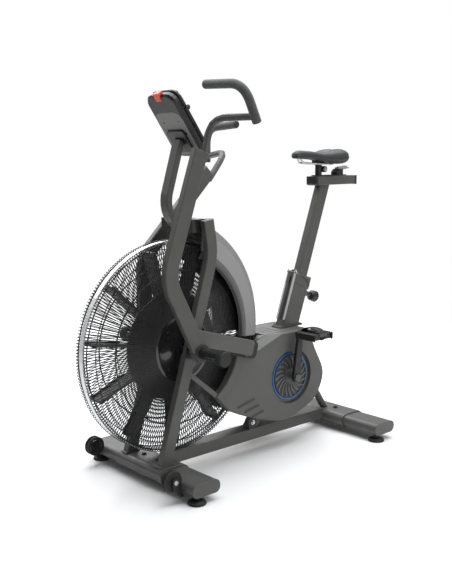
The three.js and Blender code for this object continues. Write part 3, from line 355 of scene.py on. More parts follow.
def stitched(rings, closed=False, caps=True):
    """Faces between rings of points that match one another."""
    sides = len(rings[0])
    points = [p for ring in rings for p in ring]
    faces = []
    last = len(rings) if closed else len(rings) - 1
    for i in range(last):
        a, b = i * sides, (i + 1) % len(rings) * sides
        faces += [(a + j, a + (j + 1) % sides, b + (j + 1) % sides, b + j) for j in range(sides)]
    if caps and not closed:
        faces.append(tuple(range(sides))[::-1])
        faces.append(tuple(len(points) - sides + j for j in range(sides)))
    return points, faces


def tube(line, radius, sides=12, closed=False, radii=None, flat=1.0):
    """A round bar through points in metres; flat squeezes it along its second direction."""
    count = len(line)
    radii = radii or [radius] * count
    rings = []
    side = None
    for i, here in enumerate(line):
        ahead = line[(i + 1) % count] if closed or i < count - 1 else here
        back = line[i - 1] if closed or i > 0 else here
        run = (ahead - back).normalized()
        if side is None:
            side = run.cross(Vector((0, 1, 0)))
            if side.length < 0.2:
                side = run.cross(Vector((1, 0, 0)))
        side = (side - run * side.dot(run)).normalized()
        other = run.cross(side)
        rings.append([here + (side * math.cos(t) + other * math.sin(t) * flat) * radii[i] * MM
                      for t in (2 * math.pi * j / sides for j in range(sides))])
    return stitched(rings, closed)


def rod(start, end, radius, sides=24):
    """A straight round bar between two points in metres."""
    return tube([start, end], radius, sides)


def lathe(x, z, side, profile, segments=48):
    """A turned piece about an axis along Y: pairs of radius and distance from the middle plane."""
    rings = []
    for k in range(segments):
        t = 2 * math.pi * k / segments
        rings.append([at(x + r * math.cos(t), side * y, z + r * math.sin(t)) for r, y in profile])
    return stitched(rings, closed=True)


def slab(outline, near, far, side=RIGHT):
    """An outline in the XZ plane between two distances from the middle plane."""
    return stitched([[at(x, side * y, z) for x, z in outline] for y in (near, far)])


def block(low, high):
    """A box between two corners, in millimetres."""
    (x0, y0, z0), (x1, y1, z1) = low, high
    return stitched([[at(x, y, z) for x, y in ((x0, y0), (x1, y0), (x1, y1), (x0, y1))] for z in (z0, z1)])


def rounded(width, height, radius, x=0, z=0, angle=0.0, steps=6):
    """A rectangle with round corners as points, turned by an angle and centred on (x, z)."""
    across, up = width / 2 - radius, height / 2 - radius
    corners = ((across, up), (-across, up), (-across, -up), (across, -up))
    points = []
    for k, (cx, cz) in enumerate(corners):
        for i in range(steps + 1):
            t = (k + i / steps) * math.pi / 2
            px, pz = cx + radius * math.cos(t), cz + radius * math.sin(t)
            points.append((x + px * math.cos(angle) - pz * math.sin(angle),
                           z + px * math.sin(angle) + pz * math.cos(angle)))
    return points


def strip(start, end, width):
    """A narrow rectangle with round ends along a line in the XZ plane."""
    run = Vector(end) - Vector(start)
    middle = (Vector(start) + Vector(end)) / 2
    return rounded(run.length + width, width, width / 2 - 0.01, middle.x, middle.y, math.atan2(run.y, run.x))


def bent(line, reach, steps=14):
    """Points of a line in millimetres with its inner corners rounded, in metres."""
    corners = [at(*p) for p in line]
    points = [corners[0]]
    for back, corner, ahead in zip(corners, corners[1:], corners[2:]):
        entry = corner + (back - corner).normalized() * reach * MM
        leave = corner + (ahead - corner).normalized() * reach * MM
        for i in range(steps + 1):
            t = i / steps
            points.append(entry * (1 - t) ** 2 + corner * 2 * t * (1 - t) + leave * t * t)
    points.append(corners[-1])
    return points


def spaced(values, x):
    """A smooth reading between pairs of (place, value)."""
    if x <= values[0][0]:
        return values[0][1]
    for (x0, v0), (x1, v1) in zip(values, values[1:]):
        if x <= x1:
            t = (x - x0) / (x1 - x0)
            t = t * t * (3 - 2 * t) * 0.5 + t * 0.5
            return v0 + (v1 - v0) * t
    return values[-1][1]


def screw(name, x, z, y, side, body, radius=3.6, finish="black_plastic"):
    """A small domed screw head with a hex socket, on a face square to Y."""
    head = lathe(x, z, side, [(radius * 0.45, y - 1.5), (radius, y - 1.5), (radius, y + 0.6),
                              (radius * 0.8, y + 1.4), (radius * 0.45, y + 1.4)], 18)
    socket = lathe(x, z, side, [(0.01, y - 1.5), (radius * 0.45, y - 1.5), (radius * 0.45, y + 0.3),
                                (0.01, y + 0.3)], 6)
    return piece(name, joined(head, socket), finish, body)


def bolt(name, base, along, radius, height, body, finish="steel"):
    """A hexagon head standing on a face, with a turned edge."""
    along = Vector(along).normalized()
    top = base + along * height * MM
    head = tube([base, base + along * height * 0.8 * MM, top], radius, 6,
                radii=[radius, radius, radius * 0.86])
    washer = tube([base - along * 0.5 * MM, base + along * 1.2 * MM], radius * 1.35, 24)
    return piece(name, joined(head, washer), finish, body)


# ---------------------------------------------------------------- CAD nodes that stay


def dress_nodes():
    """Gives every CAD node its finish from the record's slot."""
    special = {
        "left_peg": "gloss_black", "right_peg": "gloss_black", "fork_crown": "gloss_black",
        "fan_rotor": "blade_plastic",
    }
    nodes = {row["node"]: row["material_slot"] for row in frame["record"]["subparts"]}
    for name, obj in frame["nodes"].items():
        finish = special.get(name, nodes[name])
        obj.data.materials.clear()
        obj.data.materials.append(FINISH[finish])


# ---------------------------------------------------------------- fan cage and fan


def cage_point(radius, turn, y):
    return at(FAN_X + radius * math.cos(turn), y, FAN_Z + radius * math.sin(turn))


def cage_wires(name, side):
    """Fine radial wires that bend over the rim's shoulder and end on the hub plate."""
    wires = []
    for k in range(WIRES):
        turn = 2 * math.pi * (k + (0.5 if side == RIGHT else 0)) / WIRES
        line = [cage_point(r, turn, side * y) for r, y in WIRE_LINE]
        wires.append(tube(line, WIRE_RADIUS, 5))
    wires_piece = piece(f"{name}_cage_wires", joined(*wires), "wire_paint", "frame", smooth=80)
    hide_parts(f"{name}_grille")


def cage_hoops(name, side):
    """The hoops that the wires are welded to, inside the cage."""
    hoops = []
    for radius, y, thickness in HOOPS:
        line = [cage_point(radius, 2 * math.pi * k / 120, side * y) for k in range(120)]
        hoops.append(tube(line, thickness, 8, closed=True))
    piece(f"{name}_cage_hoops", joined(*hoops), "wire_paint", "frame", smooth=80)


def hub_plate(name, side):
    """The pressed plate in the middle of a grille, with a turned rim and a raised ring."""
    plate = lathe(FAN_X, FAN_Z, side, [
        (20, 58), (HUB_RADIUS - 3, 58), (HUB_RADIUS, 59.5), (HUB_RADIUS, 62), (HUB_RADIUS - 3, 63),
        (HUB_RADIUS - 12, 62.4), (HUB_RADIUS - 16, 61), (60, 61), (54, 62.6), (20, 62.6)], 72)
    piece(f"{name}_hub_plate", plate, "gloss_black", "frame")
    for k in range(4):
        turn = math.radians(45 + 90 * k)
        screw(f"{name}_hub_screw_{k + 1}", FAN_X + 88 * math.cos(turn), FAN_Z + 88 * math.sin(turn), 61.6,
              side, "frame", 4, "gloss_black")


def fan_blades():
    """Ribbed plastic paddles laid over the rotor's blades."""
    hub = at(FAN_X, 0, FAN_Z)
    edge = BLADE_HALF_WIDTH
    for k in range(BLADES):
        turn = math.radians(FIRST_BLADE + 360 * k / BLADES)
        run = Vector((math.cos(turn), 0, math.sin(turn)))
        out = Vector((-math.sin(turn), 0, math.cos(turn)))

        def spot(r, y, lift):
            return hub + run * r * MM + out * lift * MM + Vector((0, y * MM, 0))

        def bar(inner, outer, section):
            return stitched([[spot(r, y, lift) for y, lift in section] for r in (inner, outer)])

        def rib(r0):
            section = ((r0, 4), (r0 + 3, 6.5), (r0 + 6, 4))
            return stitched([[spot(r, y, lift) for r, lift in section] for y in (2 - edge, edge - 2)])

        shell = bar(BLADE_ROOT, BLADE_TIP, ((-edge, 2), (-edge, 4.5), (edge, 4.5), (edge, 2)))
        lips = [bar(LIP_START, BLADE_TIP, ((y, -7), (y, 4), (y + 2, 4), (y + 2, -7)))
                for y in (-edge - 1, edge - 1)]
        end = bar(BLADE_TIP - 1, BLADE_TIP + 1.5,
                  ((-edge - 1, -7), (-edge - 1, 4), (edge + 1, 4), (edge + 1, -7)))
        ribs = [rib(r0) for r0 in range(200, 330, 20)]
        piece(f"fan_blade_{k + 1}", joined(shell, *lips, end, *ribs), "blade_plastic", "fan")


def tensioner(name, side):
    """The bracket and nut that pull the fan axle along its slot, outside a leg."""
    plate = slab(rounded(40, 66, 8, FAN_X - 4, FAN_Z + 6, math.radians(-17)), 111.6, 114.2, side)
    piece(f"{name}_axle_plate", plate, "black_plastic", "frame", bevel=0.8)
    nut = lathe(FAN_X, FAN_Z, side, [(9, 114.4), (16, 114.4), (16, 122), (14, 124), (9, 124)], 6)
    piece(f"{name}_axle_nut", nut, "steel", "frame", smooth=20)
    ring = lathe(FAN_X, FAN_Z, side, [(9, 124.2), (20, 124.2), (20, 134), (17, 138), (9, 138)], 36)
    piece(f"{name}_pivot_spacer", ring, "black_plastic", "frame")


# ---------------------------------------------------------------- base


def base_details():
    """End caps, clamp bolts, wheel bolts and caps, and the nuts on the levelling feet."""
    for name, x in (("front", 25), ("rear", 916)):
        for side_name, side in SIDES:
            outline = rounded(113.4, 45.4, 21, x, 48, steps=8)
            cap = slab(outline, 292.6, 295.4, side)
            piece(f"{name}_{side_name}_end_cap", cap, "frame_paint", "frame", bevel=1.1)
        for k, y in enumerate((-42, 42)):
            bolt(f"{name}_clamp_bolt_{k + 1}", at(x, y, 74.6), (0, 0, 1), 7.5, 6, "frame", "black_plastic")
    for side_name, side in SIDES:
        x, _, z = plain(centre(f"{side_name}_transport_wheel"))
        bolt(f"{side_name}_wheel_bolt", at(x, side * 250, z), (0, side, 0), 6, 4, "frame")
        hub = lathe(x, z, side, [(6, 211), (19, 211), (20, 210), (24, 210), (25, 211.8), (6, 211.8)], 36)
        piece(f"{side_name}_wheel_cap", hub, "gloss_black", f"{side_name}_transport_wheel")
    for node in ("front_left", "front_right", "rear_left", "rear_right"):
        x, y, _ = plain(centre(f"{node}_foot"))
        ring = tube([at(x, y, 24.6), at(x, y, 19.5)], 12, 6)
        piece(f"{node}_foot_nut", ring, "black_plastic", "frame", smooth=20, bevel=0.6)


def beam_details():
    """The bracket and bolt that hold the housing's nose to the beam."""
    plate = slab([(452, 82.3), (486, 82.3), (492, 132), (470, 140), (448, 118)], 27, 30, LEFT)
    piece("housing_bracket", plate, "black_plastic", "frame", bevel=0.8)
    bolt("housing_bracket_bolt", at(470, -30, 106), (0, -1, 0), 7, 6, "frame")


# ---------------------------------------------------------------- fork, shroud and side bars


def shroud_lip(name, side):
    """A thin bright edge moulding round the shroud's opening."""
    line = [at(SHROUD_X + 281 * math.cos(t), side * 80.6, SHROUD_Z + 281 * math.sin(t))
            for t in (math.radians(-6 + 74.5 * k / 40) for k in range(41))]
    piece(f"{name}_shroud_lip", tube(line, 1.6, 8), "shroud_plastic", "frame", smooth=80)


def side_bar_backing_and_shade(name, side):
    """The black rubber moulding between a side bar's rear half and the housing; its black rim round the bar
    also paints the shade of the gap between bar and housing.
    """
    front, back = Vector((112, 500)), Vector((380, 420))
    slope = math.atan2(back.y - front.y, back.x - front.x)
    start = front.lerp(back, 0.33)
    end = back + (back - front).normalized() * 38
    middle = (start + end) / 2 + Vector((0, -6))
    outline = rounded((end - start).length, 64, 19, middle.x, middle.y, slope)
    # Black rubber showing round the bar: partly a real moulding, partly painted shade for the shadow gap
    # between bar and housing.
    backing = slab(outline, 99, 114.7, side)
    piece(f"{name}_side_bar_backing_and_shade", backing, "rubber", "frame", bevel=2.5, segments=3)


def peg_cap(name, side):
    """The knurled rubber cap on a peg's end."""
    cap = lathe(FAN_X, FAN_Z, side, [
        (19.2, 255.5), (24.6, 255.5), (25.6, 257), (25.6, 279.5), (22.5, 282.6), (0.01, 282.6),
        (0.01, 281.5), (19.2, 281.5)], 48)
    ribs = []
    for k in range(32):
        turn = 2 * math.pi * k / 32
        x, z = FAN_X + 25.6 * math.cos(turn), FAN_Z + 25.6 * math.sin(turn)
        ribs.append(rod(at(x, side * 258.5, z), at(x, side * 278, z), 1.1, 6))
    piece(f"{name}_peg_cap", joined(cap, *ribs), "rubber", "frame")


# ---------------------------------------------------------------- housing


def cover_vents(name, side):
    """Three slanting slots low on a cover, each with a raised lip over it."""
    slots = (((338, 204), (416, 221)), ((371, 180), (438, 194)), ((405, 156), (460, 167)))
    for k, (start, end) in enumerate(slots):
        piece(f"{name}_vent_{k + 1}", slab(strip(start, end, 7), 95, 96.3, side), "black_plastic", "frame")
        lift = Vector((-0.8, 5.6))
        lip = strip(Vector(start) + lift, Vector(end) + lift, 2.2)
        piece(f"{name}_vent_lip_{k + 1}", slab(lip, 95, 97.4, side), "shell_plastic", "frame")


def front_band_shade(name, side):
    """The chamfered band along a cover's front edge, in a darker plastic that paints the shade the chamfer
    takes.
    """
    rings = []
    for k in range(25):
        turn = math.radians(-14.5 - 38.5 * k / 24)
        rings.append([at(FAN_X + r * math.cos(turn), side * y, FAN_Z + r * math.sin(turn))
                      for r, y in ((221, 92.8), (254, 96.2), (256, 95.2), (223, 91.6))])
    # Darker plastic on the sloped chamfer: painted shade.
    piece(f"{name}_cover_front_band", stitched(rings), "blade_plastic", "frame")


def shoulder_filler(name, side):
    """The small panel that closes the housing's shoulder against the shroud."""
    corners = ((499, 66, 441.2), (426, 66, 416.5), (444, 58.5, 423), (486, 36, 436))
    top = [at(x, side * y, z) for x, y, z in corners]
    low = [p - Vector((0, 0, 2 * MM)) for p in top]
    piece(f"{name}_shoulder_filler", stitched([low, top]), "shell_plastic", "frame")


def dish_trim(name, side):
    """The bezel and the blue ring round the turbine."""
    bezel = lathe(CRANK_X, CRANK_Z, side, [
        (DISH_RADIUS - 0.4, 90), (DISH_RADIUS - 0.4, 96.2), (DISH_RADIUS + 1.5, 97.2),
        (DISH_RADIUS + 5, 96.6), (DISH_RADIUS + 6, 95.4), (DISH_RADIUS + 2, 94)], 96)
    piece(f"{name}_dish_bezel", bezel, "shell_plastic", "frame")
    ring_y = side * (DISH_FLOOR + 2.4)
    line = [at(CRANK_X + BLUE_RADIUS * math.cos(t), ring_y, CRANK_Z + BLUE_RADIUS * math.sin(t))
            for t in (2 * math.pi * k / 96 for k in range(96))]
    piece(f"{name}_blue_ring", tube(line, 2.6, 10, closed=True), "blue_plastic", "frame", smooth=80)


def turbine(name, side):
    """The fan-like disc on the crank: curved fins between a rim and a domed hub."""
    disc = lathe(0, 0, side, [
        (10.4, 85.6), (82, 85.6), (83, 86.5), (83, 92.5), (80, 93), (78, 88), (32, 88),
        (27, 93.5), (10.4, 93.5)], 72)
    fins = []
    for k in range(20):
        turn = 2 * math.pi * k / 20
        rings = []
        for i in range(7):
            r = 28 + 51 * i / 6
            bend = turn + 0.34 * (i / 6) ** 1.5
            half = 1.3 + 1.1 * i / 6
            cx, cz = r * math.cos(bend), r * math.sin(bend)
            nx, nz = -math.sin(bend) * half, math.cos(bend) * half
            rings.append([at(cx + nx * s, side * y, cz + nz * s)
                          for s, y in ((-1, 87.6), (1, 87.6), (0.5, 92.6), (-0.9, 92.6))])
        fins.append(stitched(rings))
    shift = Vector((CRANK_X * MM, 0, CRANK_Z * MM))
    parts = (("disc", disc, "blade_plastic"), ("fins", joined(*fins), "fin_plastic"))
    for part, (points, faces), finish in parts:
        obj = piece(f"{name}_turbine_{part}", ([p + shift for p in points], faces), finish, "crank")
        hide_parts(f"{name}_turbine")


def deck_details():
    """Three slots across the housing's deck, and the gasket round the seat tube's foot."""
    for k in range(3):
        x0 = 523 + 27 * k
        slot = block((x0, -41, DECK_Z - 1), (x0 + 13, 39, DECK_Z + 0.4))
        piece(f"deck_vent_{k + 1}", slot, "black_plastic", "frame", bevel=0.3)
    inner, outer = rounded(104, 46, 6, 0, 0), rounded(122, 62, 14, 0, 0)
    middle = SEAT_FOOT_X + TUBE_SHIFT + 1
    levels = ((inner, 0.2), (outer, 0.2), (outer, 3), (inner, 9))
    rings = [[at(middle + px, py, DECK_Z + lift) for px, py in ring] for ring, lift in levels]
    piece("deck_gasket", stitched(rings, closed=True), "rubber", "frame", smooth=30)


# ---------------------------------------------------------------- seat tube, post and rail


def seat_point(z, offset, y):
    """A point beside the seat tube's centre line: offset is square to it, towards the back."""
    lean = math.hypot(SEAT_LEAN, 1)
    x = SEAT_FOOT_X + SEAT_LEAN * (z - DECK_Z) + offset / lean
    return at(x, y, z - offset * SEAT_LEAN / lean)


def tube_front():
    """The guide groove down the seat tube's front, drawn as a black strip of painted shade, with its two
    pale edge strips painted as highlights on the front edges.
    """
    front = TUBE_SHIFT - 45

    def along(name, corners, finish):
        rings = [[seat_point(z, offset, y) for offset, y in corners] for z in (DECK_Z + 14, 640)]
        piece(name, stitched(rings), finish, "frame", bevel=0.4)

    # A black strip on the tube's front: painted shade standing in for the shadowed guide groove.
    along("seat_tube_groove_shade", ((front - 0.5, -9), (front - 0.5, 2), (front + 2, 2), (front + 2, -9)),
          "black_plastic")
    for name, side in SIDES:
        # Two pale strips: a painted highlight along the tube's bevelled front edges.
        corners = [(front - 2.6, side * 17.5), (front + 2, side * 23.4), (front + 4.5, side * 22),
                   (front, side * 16)]
        along(f"seat_tube_edge_highlight_{name}", corners, "painted_highlight_grey")


def collar_seam(name, side):
    """The slanted seam of the clamp collar on the tube's side."""
    seam = []
    for k in range(13):
        t = k / 12
        seam.append(seat_point(627 - 26 * t ** 1.7, -20 + 62 * t, side * (TUBE_HALF_WIDTH + 1.2)))
    piece(f"seat_tube_seam_{name}", tube(seam, 1.3, 6), "black_plastic", "frame")


def collar_bolt():
    """The pinch bolt across the front of the seat tube's collar."""
    line = [seat_point(631, -44, -22), seat_point(631, -44, 22)]
    piece("collar_bolt_barrel", rod(*line, 6), "frame_paint", "frame", bevel=1)
    for name, side in SIDES:
        head = rod(seat_point(631, -44, side * 22), seat_point(631, -44, side * 25), 4.5)
        piece(f"collar_bolt_{name}", head, "steel", "frame", bevel=0.8)


def rail_caps():
    """The plastic caps on the seat rail's ends; the front one is cut back at the bottom."""
    ends = (("front", RAIL_FRONT - 1.5, RAIL_FRONT + 12, 6), ("rear", RAIL_BACK - 8, RAIL_BACK + 1.5, 0))
    for name, x0, x1, cut in ends:
        outline = [(x0 + cut, RAIL_BOTTOM - 1), (x1, RAIL_BOTTOM - 1), (x1, RAIL_TOP + 0.1),
                   (x0, RAIL_TOP + 0.1), (x0, RAIL_BOTTOM + 5)]
        piece(f"seat_rail_{name}_cap", slab(outline, -26, 26), "black_plastic", "seat_post", bevel=1.2)


def carriage_details():
    """The saddle clamp's bolts, the rail clamp's pad and the lever's steel handle."""
    for name, side in SIDES:
        bolt(f"saddle_clamp_bolt_{name}", at(867, side * 20, 1034), (0, side, 0), 6, 4, "carriage")
    block_cap = slab([(941, 1008), (950, 1008), (953, 1034), (947, 1031), (937, 1020)], -15, 15)
    piece("rail_clamp_front", block_cap, "rubber", "carriage", bevel=1.5)
    line = [at(963, 0, 1037), at(990, 0, 1038.5), at(1016, 0, 1039)]
    lever = tube(line, 7, 16, radii=[6, 8, 6.5], flat=0.35)
    piece("rail_lever_handle", lever, "steel", "rail_lever")


# ---------------------------------------------------------------- saddle

SADDLE_WIDTH = [(712, 6), (718, 17), (740, 24), (790, 28), (835, 40), (880, 61), (915, 73), (942, 71),
                (965, 57), (979, 34), (985, 12)]
SADDLE_TOP = [(712, 1092), (717, 1099), (735, 1106), (780, 1105), (841, 1099), (868, 1103), (895, 1110),
              (936, 1113), (962, 1108), (974, 1102), (985, 1090)]
SADDLE_BOTTOM = [(712, 1082), (716, 1075), (800, 1071), (850, 1064), (900, 1054), (950, 1052), (978, 1062),
                 (985, 1080)]


def saddle_ring(x, sides=28):
    half, top, bottom = (spaced(table, x) for table in (SADDLE_WIDTH, SADDLE_TOP, SADDLE_BOTTOM))
    seam = bottom + 0.42 * (top - bottom)
    groove = 5.5 * max(0.0, min(1.0, (x - 750) / 60)) * max(0.0, min(1.0, (985 - x) / 24))
    ring = []
    for j in range(sides):
        t = 2 * math.pi * j / sides
        c, s = math.cos(t), math.sin(t)
        y = half * math.copysign(abs(c) ** 0.78, c)
        if s >= 0:
            z = seam + (top - seam) * s ** 0.72
            z -= groove * math.exp(-(y / 11) ** 2)
        else:
            z = seam - (seam - bottom) * abs(s) ** 0.8
        ring.append(at(x, y, z))
    return ring


def make_saddle():
    """The padded top: a narrow nose that widens into two rear lobes with a channel between them."""
    stations = [712 + 273 * (0.5 - 0.5 * math.cos(math.pi * k / 34)) for k in range(35)]
    rings = [saddle_ring(x) for x in stations]
    obj = piece("saddle_pad", stitched(rings), "saddle_skin", "carriage", smooth=80)
    soft = obj.modifiers.new("soft", "SUBSURF")
    soft.levels = soft.render_levels = 1
    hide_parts("saddle")
    welt = []
    for mirror in (1, -1):
        row = []
        for x in stations[1:-1]:
            half, top, bottom = (spaced(table, x) for table in (SADDLE_WIDTH, SADDLE_TOP, SADDLE_BOTTOM))
            row.append(at(x, mirror * (half - 0.6), bottom + 0.42 * (top - bottom)))
        welt += row if mirror == 1 else row[::-1]
    piece("saddle_welt", tube(welt, 1.5, 6, closed=True), "black_plastic", "carriage", smooth=80)


def saddle_underside():
    """The moulded shell, the clamp pad and the two bent steel rails under the padding."""
    shell = block((828, -16, 1057), (876, 16, 1071))
    piece("saddle_clamp_pad", shell, "black_plastic", "carriage", bevel=3, segments=3)
    for name, side in SIDES:
        line = bent([(738, side * 5, 1078), (752, side * 12, 1060), (800, side * 21, 1056),
                     (905, side * 21, 1052), (938, side * 26, 1066)], 9, 6)
        piece(f"saddle_rail_{name}", tube(line, 3.5, 12), "steel", "carriage", smooth=80)


# ---------------------------------------------------------------- pedals


def make_pedal(name, side):
    """A resin pedal: toothed cage plates, barrel, treads and a toe strap with its buckle."""
    body = f"{name}_pedal"
    x, _, z = plain(centre(body))
    barrel = lathe(x, z, side, [
        (6.6, 137), (13, 137), (14, 140), (12, 146), (12, 222), (14, 228), (13, 231.5), (6.6, 231.5)], 32)
    obj = piece(f"{name}_pedal_barrel", barrel, "black_plastic", body)
    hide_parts(f"{name}_pedal")
    plates = []
    for edge in (-1, 1):
        teeth = []
        for k in range(9):
            y = 141 + k * 11
            teeth += [(y, 10), (y + 2, 13), (y + 7, 13), (y + 9, 10)]
        outline = teeth + [(y, -h) for y, h in teeth[::-1]]
        rings = [[at(x + edge * 46 + dx, side * y, z + h) for y, h in outline] for dx in (-2, 2)]
        plates.append(stitched(rings))
    for y in (138, 228):
        plates.append(slab(rounded(92, 20, 8, x, z), y, y + 3.5, side))
    piece(f"{name}_pedal_cage", joined(*plates), "black_plastic", body, bevel=0.6, segments=1)
    treads = [slab(rounded(7, 21, 2.5, x + dx, z), 142, 228, side) for dx in (-34, -22, 22, 34)]
    piece(f"{name}_pedal_treads", joined(*treads), "rubber", body)
    path = [(139, 4), (140, 14), (150, 22), (168, 26), (190, 27), (212, 25), (225, 18), (231, 6)]
    rings = []
    for i, (y, h) in enumerate(path):
        y0, h0 = path[max(i - 1, 0)]
        y1, h1 = path[min(i + 1, len(path) - 1)]
        run = Vector((y1 - y0, h1 - h0)).normalized() * 1.5
        rings.append([at(x + dx, side * (y + sign * run.y), z + h - sign * run.x)
                      for dx, sign in ((-16, -1), (16, -1), (16, 1), (-16, 1))])
    strap = piece(f"{name}_pedal_strap", stitched(rings), "rubber", body, smooth=60, bevel=0.5)
    strap.modifiers.new("soft", "SUBSURF").levels = 1
    buckle = slab(rounded(38, 12, 3, x, z + 8), 231.8, 235, side)
    piece(f"{name}_pedal_buckle", buckle, "gloss_black", body, bevel=0.8)


def crank_bolts(name, side):
    """The domed cap on the end of the crank axle."""
    cap = lathe(CRANK_X, CRANK_Z, side, [
        (0.01, 126.4), (13, 126.4), (15, 128.4), (14, 130.8), (0.01, 131.4)], 32)
    piece(f"{name}_crank_cap", cap, "gloss_black", "crank")


# ---------------------------------------------------------------- levers and grips


def swung(points, side):
    """Points on the right lever are carried to where its swing stands at rest."""
    if side == LEFT:
        return points
    hub = at(FAN_X, 0, FAN_Z)
    turn = Matrix.Translation(hub) @ Matrix.Rotation(RIGHT_SWING, 4, "Y") @ Matrix.Translation(-hub)
    return [turn @ p for p in points]


def make_grip(name, side):
    """A foam sleeve along the handle, with rounded ends."""
    line = bent([(x, side * y, z) for x, y, z in GRIP_LINE], 62, 22)
    path = [line[0] + (line[1] - line[0]) * t for t in (0, 0.02, 0.05, 0.35, 0.7)] + line[1:-1]
    tail = line[-1] - line[-2]
    path += [line[-2] + tail * t for t in (0.3, 0.6, 0.9, 0.97, 0.99, 1.0)]
    path = swung(path, side)
    radii = [GRIP_RADIUS] * len(path)
    radii[0], radii[1], radii[-2], radii[-1] = 11, 13.8, 14, 11
    sleeve = tube(path, GRIP_RADIUS, 24, radii=radii)
    obj = piece(f"{name}_foam_grip", sleeve, "foam", f"{name}_lever", smooth=80)
    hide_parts(f"{name}_grip")
    end = [path[-1], path[-1] + (path[-1] - path[-3]).normalized() * 3 * MM]
    piece(f"{name}_grip_end_plug", tube(end, 12, 24, radii=[12, 10.5]), "rubber", f"{name}_lever")


def lever_details(name, side):
    """The cap that covers a lever's pivot."""
    cap = lathe(FAN_X, FAN_Z, side, [(19.5, 164.2), (31, 164.2), (30, 167.5), (26, 169), (19.5, 169)], 40)
    piece(f"{name}_lever_pivot_cap", cap, "black_plastic", f"{name}_lever")


# ---------------------------------------------------------------- console


def console_point(down, across, out):
    """A point on the console: down its face, across the bike, out of the face."""
    tilt = math.atan2(0.573, 0.82)
    x = CONSOLE_X + down * math.sin(tilt) + out * math.cos(tilt)
    return at(x, across, CONSOLE_Z - down * math.cos(tilt) + out * math.sin(tilt))


def console_plate(outline, low, high):
    """An outline of (down, across) pairs between two heights out of the console's face."""
    return stitched([[console_point(down, across, out) for down, across in outline] for out in (low, high)])


def console_back_details():
    """The lighter panel, the mount and the screws that show from the front of the bike."""
    panel = rounded(166, 136, 32, 26, 0)
    piece("console_back_panel", console_plate(panel, -19.8, -18.6), "grey_panel", "frame", bevel=0.5)
    mount = rounded(84, 92, 10, 52, 0)
    piece("console_mount", console_plate(mount, -28, -19.9), "black_plastic", "frame", bevel=2, segments=3)
    for k, (down, across) in enumerate(((-18, -40), (-18, 40), (26, -50), (26, 50))):
        base = console_point(down, across, -19.7)
        inward = console_point(down, across, -18) - base
        head = tube([base, base - inward.normalized() * 1.4 * MM], 4, 18, radii=[4, 3.2])
        piece(f"console_back_screw_{k + 1}", head, "gloss_black", "frame")
    for name, side in SIDES:
        for k, down in enumerate((-60, 20, 78)):
            base = console_point(down, side * 75, 0)
            head = rod(base, base + Vector((0, side * 1.2 * MM, 0)), 3.4, 16)
            piece(f"console_{name}_screw_{k + 1}", head, "gloss_black", "frame")


def console_side_button():
    """A round button that stands out of the console's near edge."""
    base = console_point(-52, -76, 14)
    out = Vector((0, -1, 0))
    body = tube([base, base + out * 5 * MM, base + out * 6.5 * MM], 9, 24, radii=[9, 9, 7])
    piece("console_side_button", body, "gloss_black", "frame", smooth=50)


def segment_digit(down, across, size, value):
    """One seven-bar figure, as a list of thin bars on the display."""
    bars = {"t": (-1, 0, 0), "m": (0, 0, 0), "b": (1, 0, 0), "tl": (-0.5, -0.5, 1), "tr": (-0.5, 0.5, 1),
            "bl": (0.5, -0.5, 1), "br": (0.5, 0.5, 1)}
    lit = {0: "t b tl tr bl br", 1: "tr br", 2: "t m b tr bl", 3: "t m b tr br"}[value]
    shapes = []
    for key in lit.split():
        up, over, upright = bars[key]
        long, wide = (size * 0.8, size * 0.13) if upright else (size * 0.13, size * 0.8)
        outline = rounded(long, wide, size * 0.05, down + up * size, across + over * size)
        shapes.append(console_plate(outline, 18.9, 19.05))
    return shapes


def console_face_details():
    """The rider's side: three rows of figures, nine blank keys and a trim line."""
    figures = []
    for row, values in enumerate(((0, 0), (1, 2), (3, 0))):
        for column, value in enumerate(values):
            figures += segment_digit(-72 + 30 * row, -18 + 36 * column, 8, value)
    piece("console_figures", joined(*figures), "grey_panel", "frame")
    keys = []
    for row in range(3):
        for column in range(3):
            keys.append(console_plate(rounded(14, 26, 5, 28 + 22 * row, -36 + 36 * column), 19.0, 21.4))
    piece("console_keys", joined(*keys), "grey_panel", "frame", bevel=0.8)
    trim = [console_point(down, across, 19.4) for down, across in rounded(196, 128, 12, 0, 0)]
    piece("console_trim", tube(trim, 1.2, 6, closed=True), "gloss_black", "frame", smooth=80)


# ---------------------------------------------------------------- studio


def add_camera():
    """The camera, ahead of the bike and to its left."""
    data = bpy.data.cameras.new("camera")
    data.sensor_fit = "VERTICAL"
    data.sensor_height = 36
    data.lens = CAMERA_LENS
    camera = bpy.data.objects.new("camera", data)
    bpy.context.scene.collection.objects.link(camera)
    forward = Vector(CAMERA_FORWARD).normalized()
    across = Vector(CAMERA_RIGHT).normalized()
    up = across.cross(forward)
    right = across * math.cos(CAMERA_ROLL) + up * math.sin(CAMERA_ROLL)
    above = up * math.cos(CAMERA_ROLL) - across * math.sin(CAMERA_ROLL)
    basis = Matrix((right, above, -forward)).transposed().to_4x4()
    camera.matrix_world = Matrix.Translation(at(*CAMERA_PLACE)) @ basis
    bpy.context.scene.camera = camera


def area_light(name, place, target, size, watts, colour=(1, 1, 1)):
    data = bpy.data.lights.new(name, "AREA")
    data.shape = "RECTANGLE"
    data.size, data.size_y = size
    data.energy = watts
    data.color = colour
    light = bpy.data.objects.new(name, data)
    light.location = place
    light.rotation_euler = (Vector(target) - Vector(place)).to_track_quat("-Z", "Y").to_euler()
    bpy.context.scene.collection.objects.link(light)


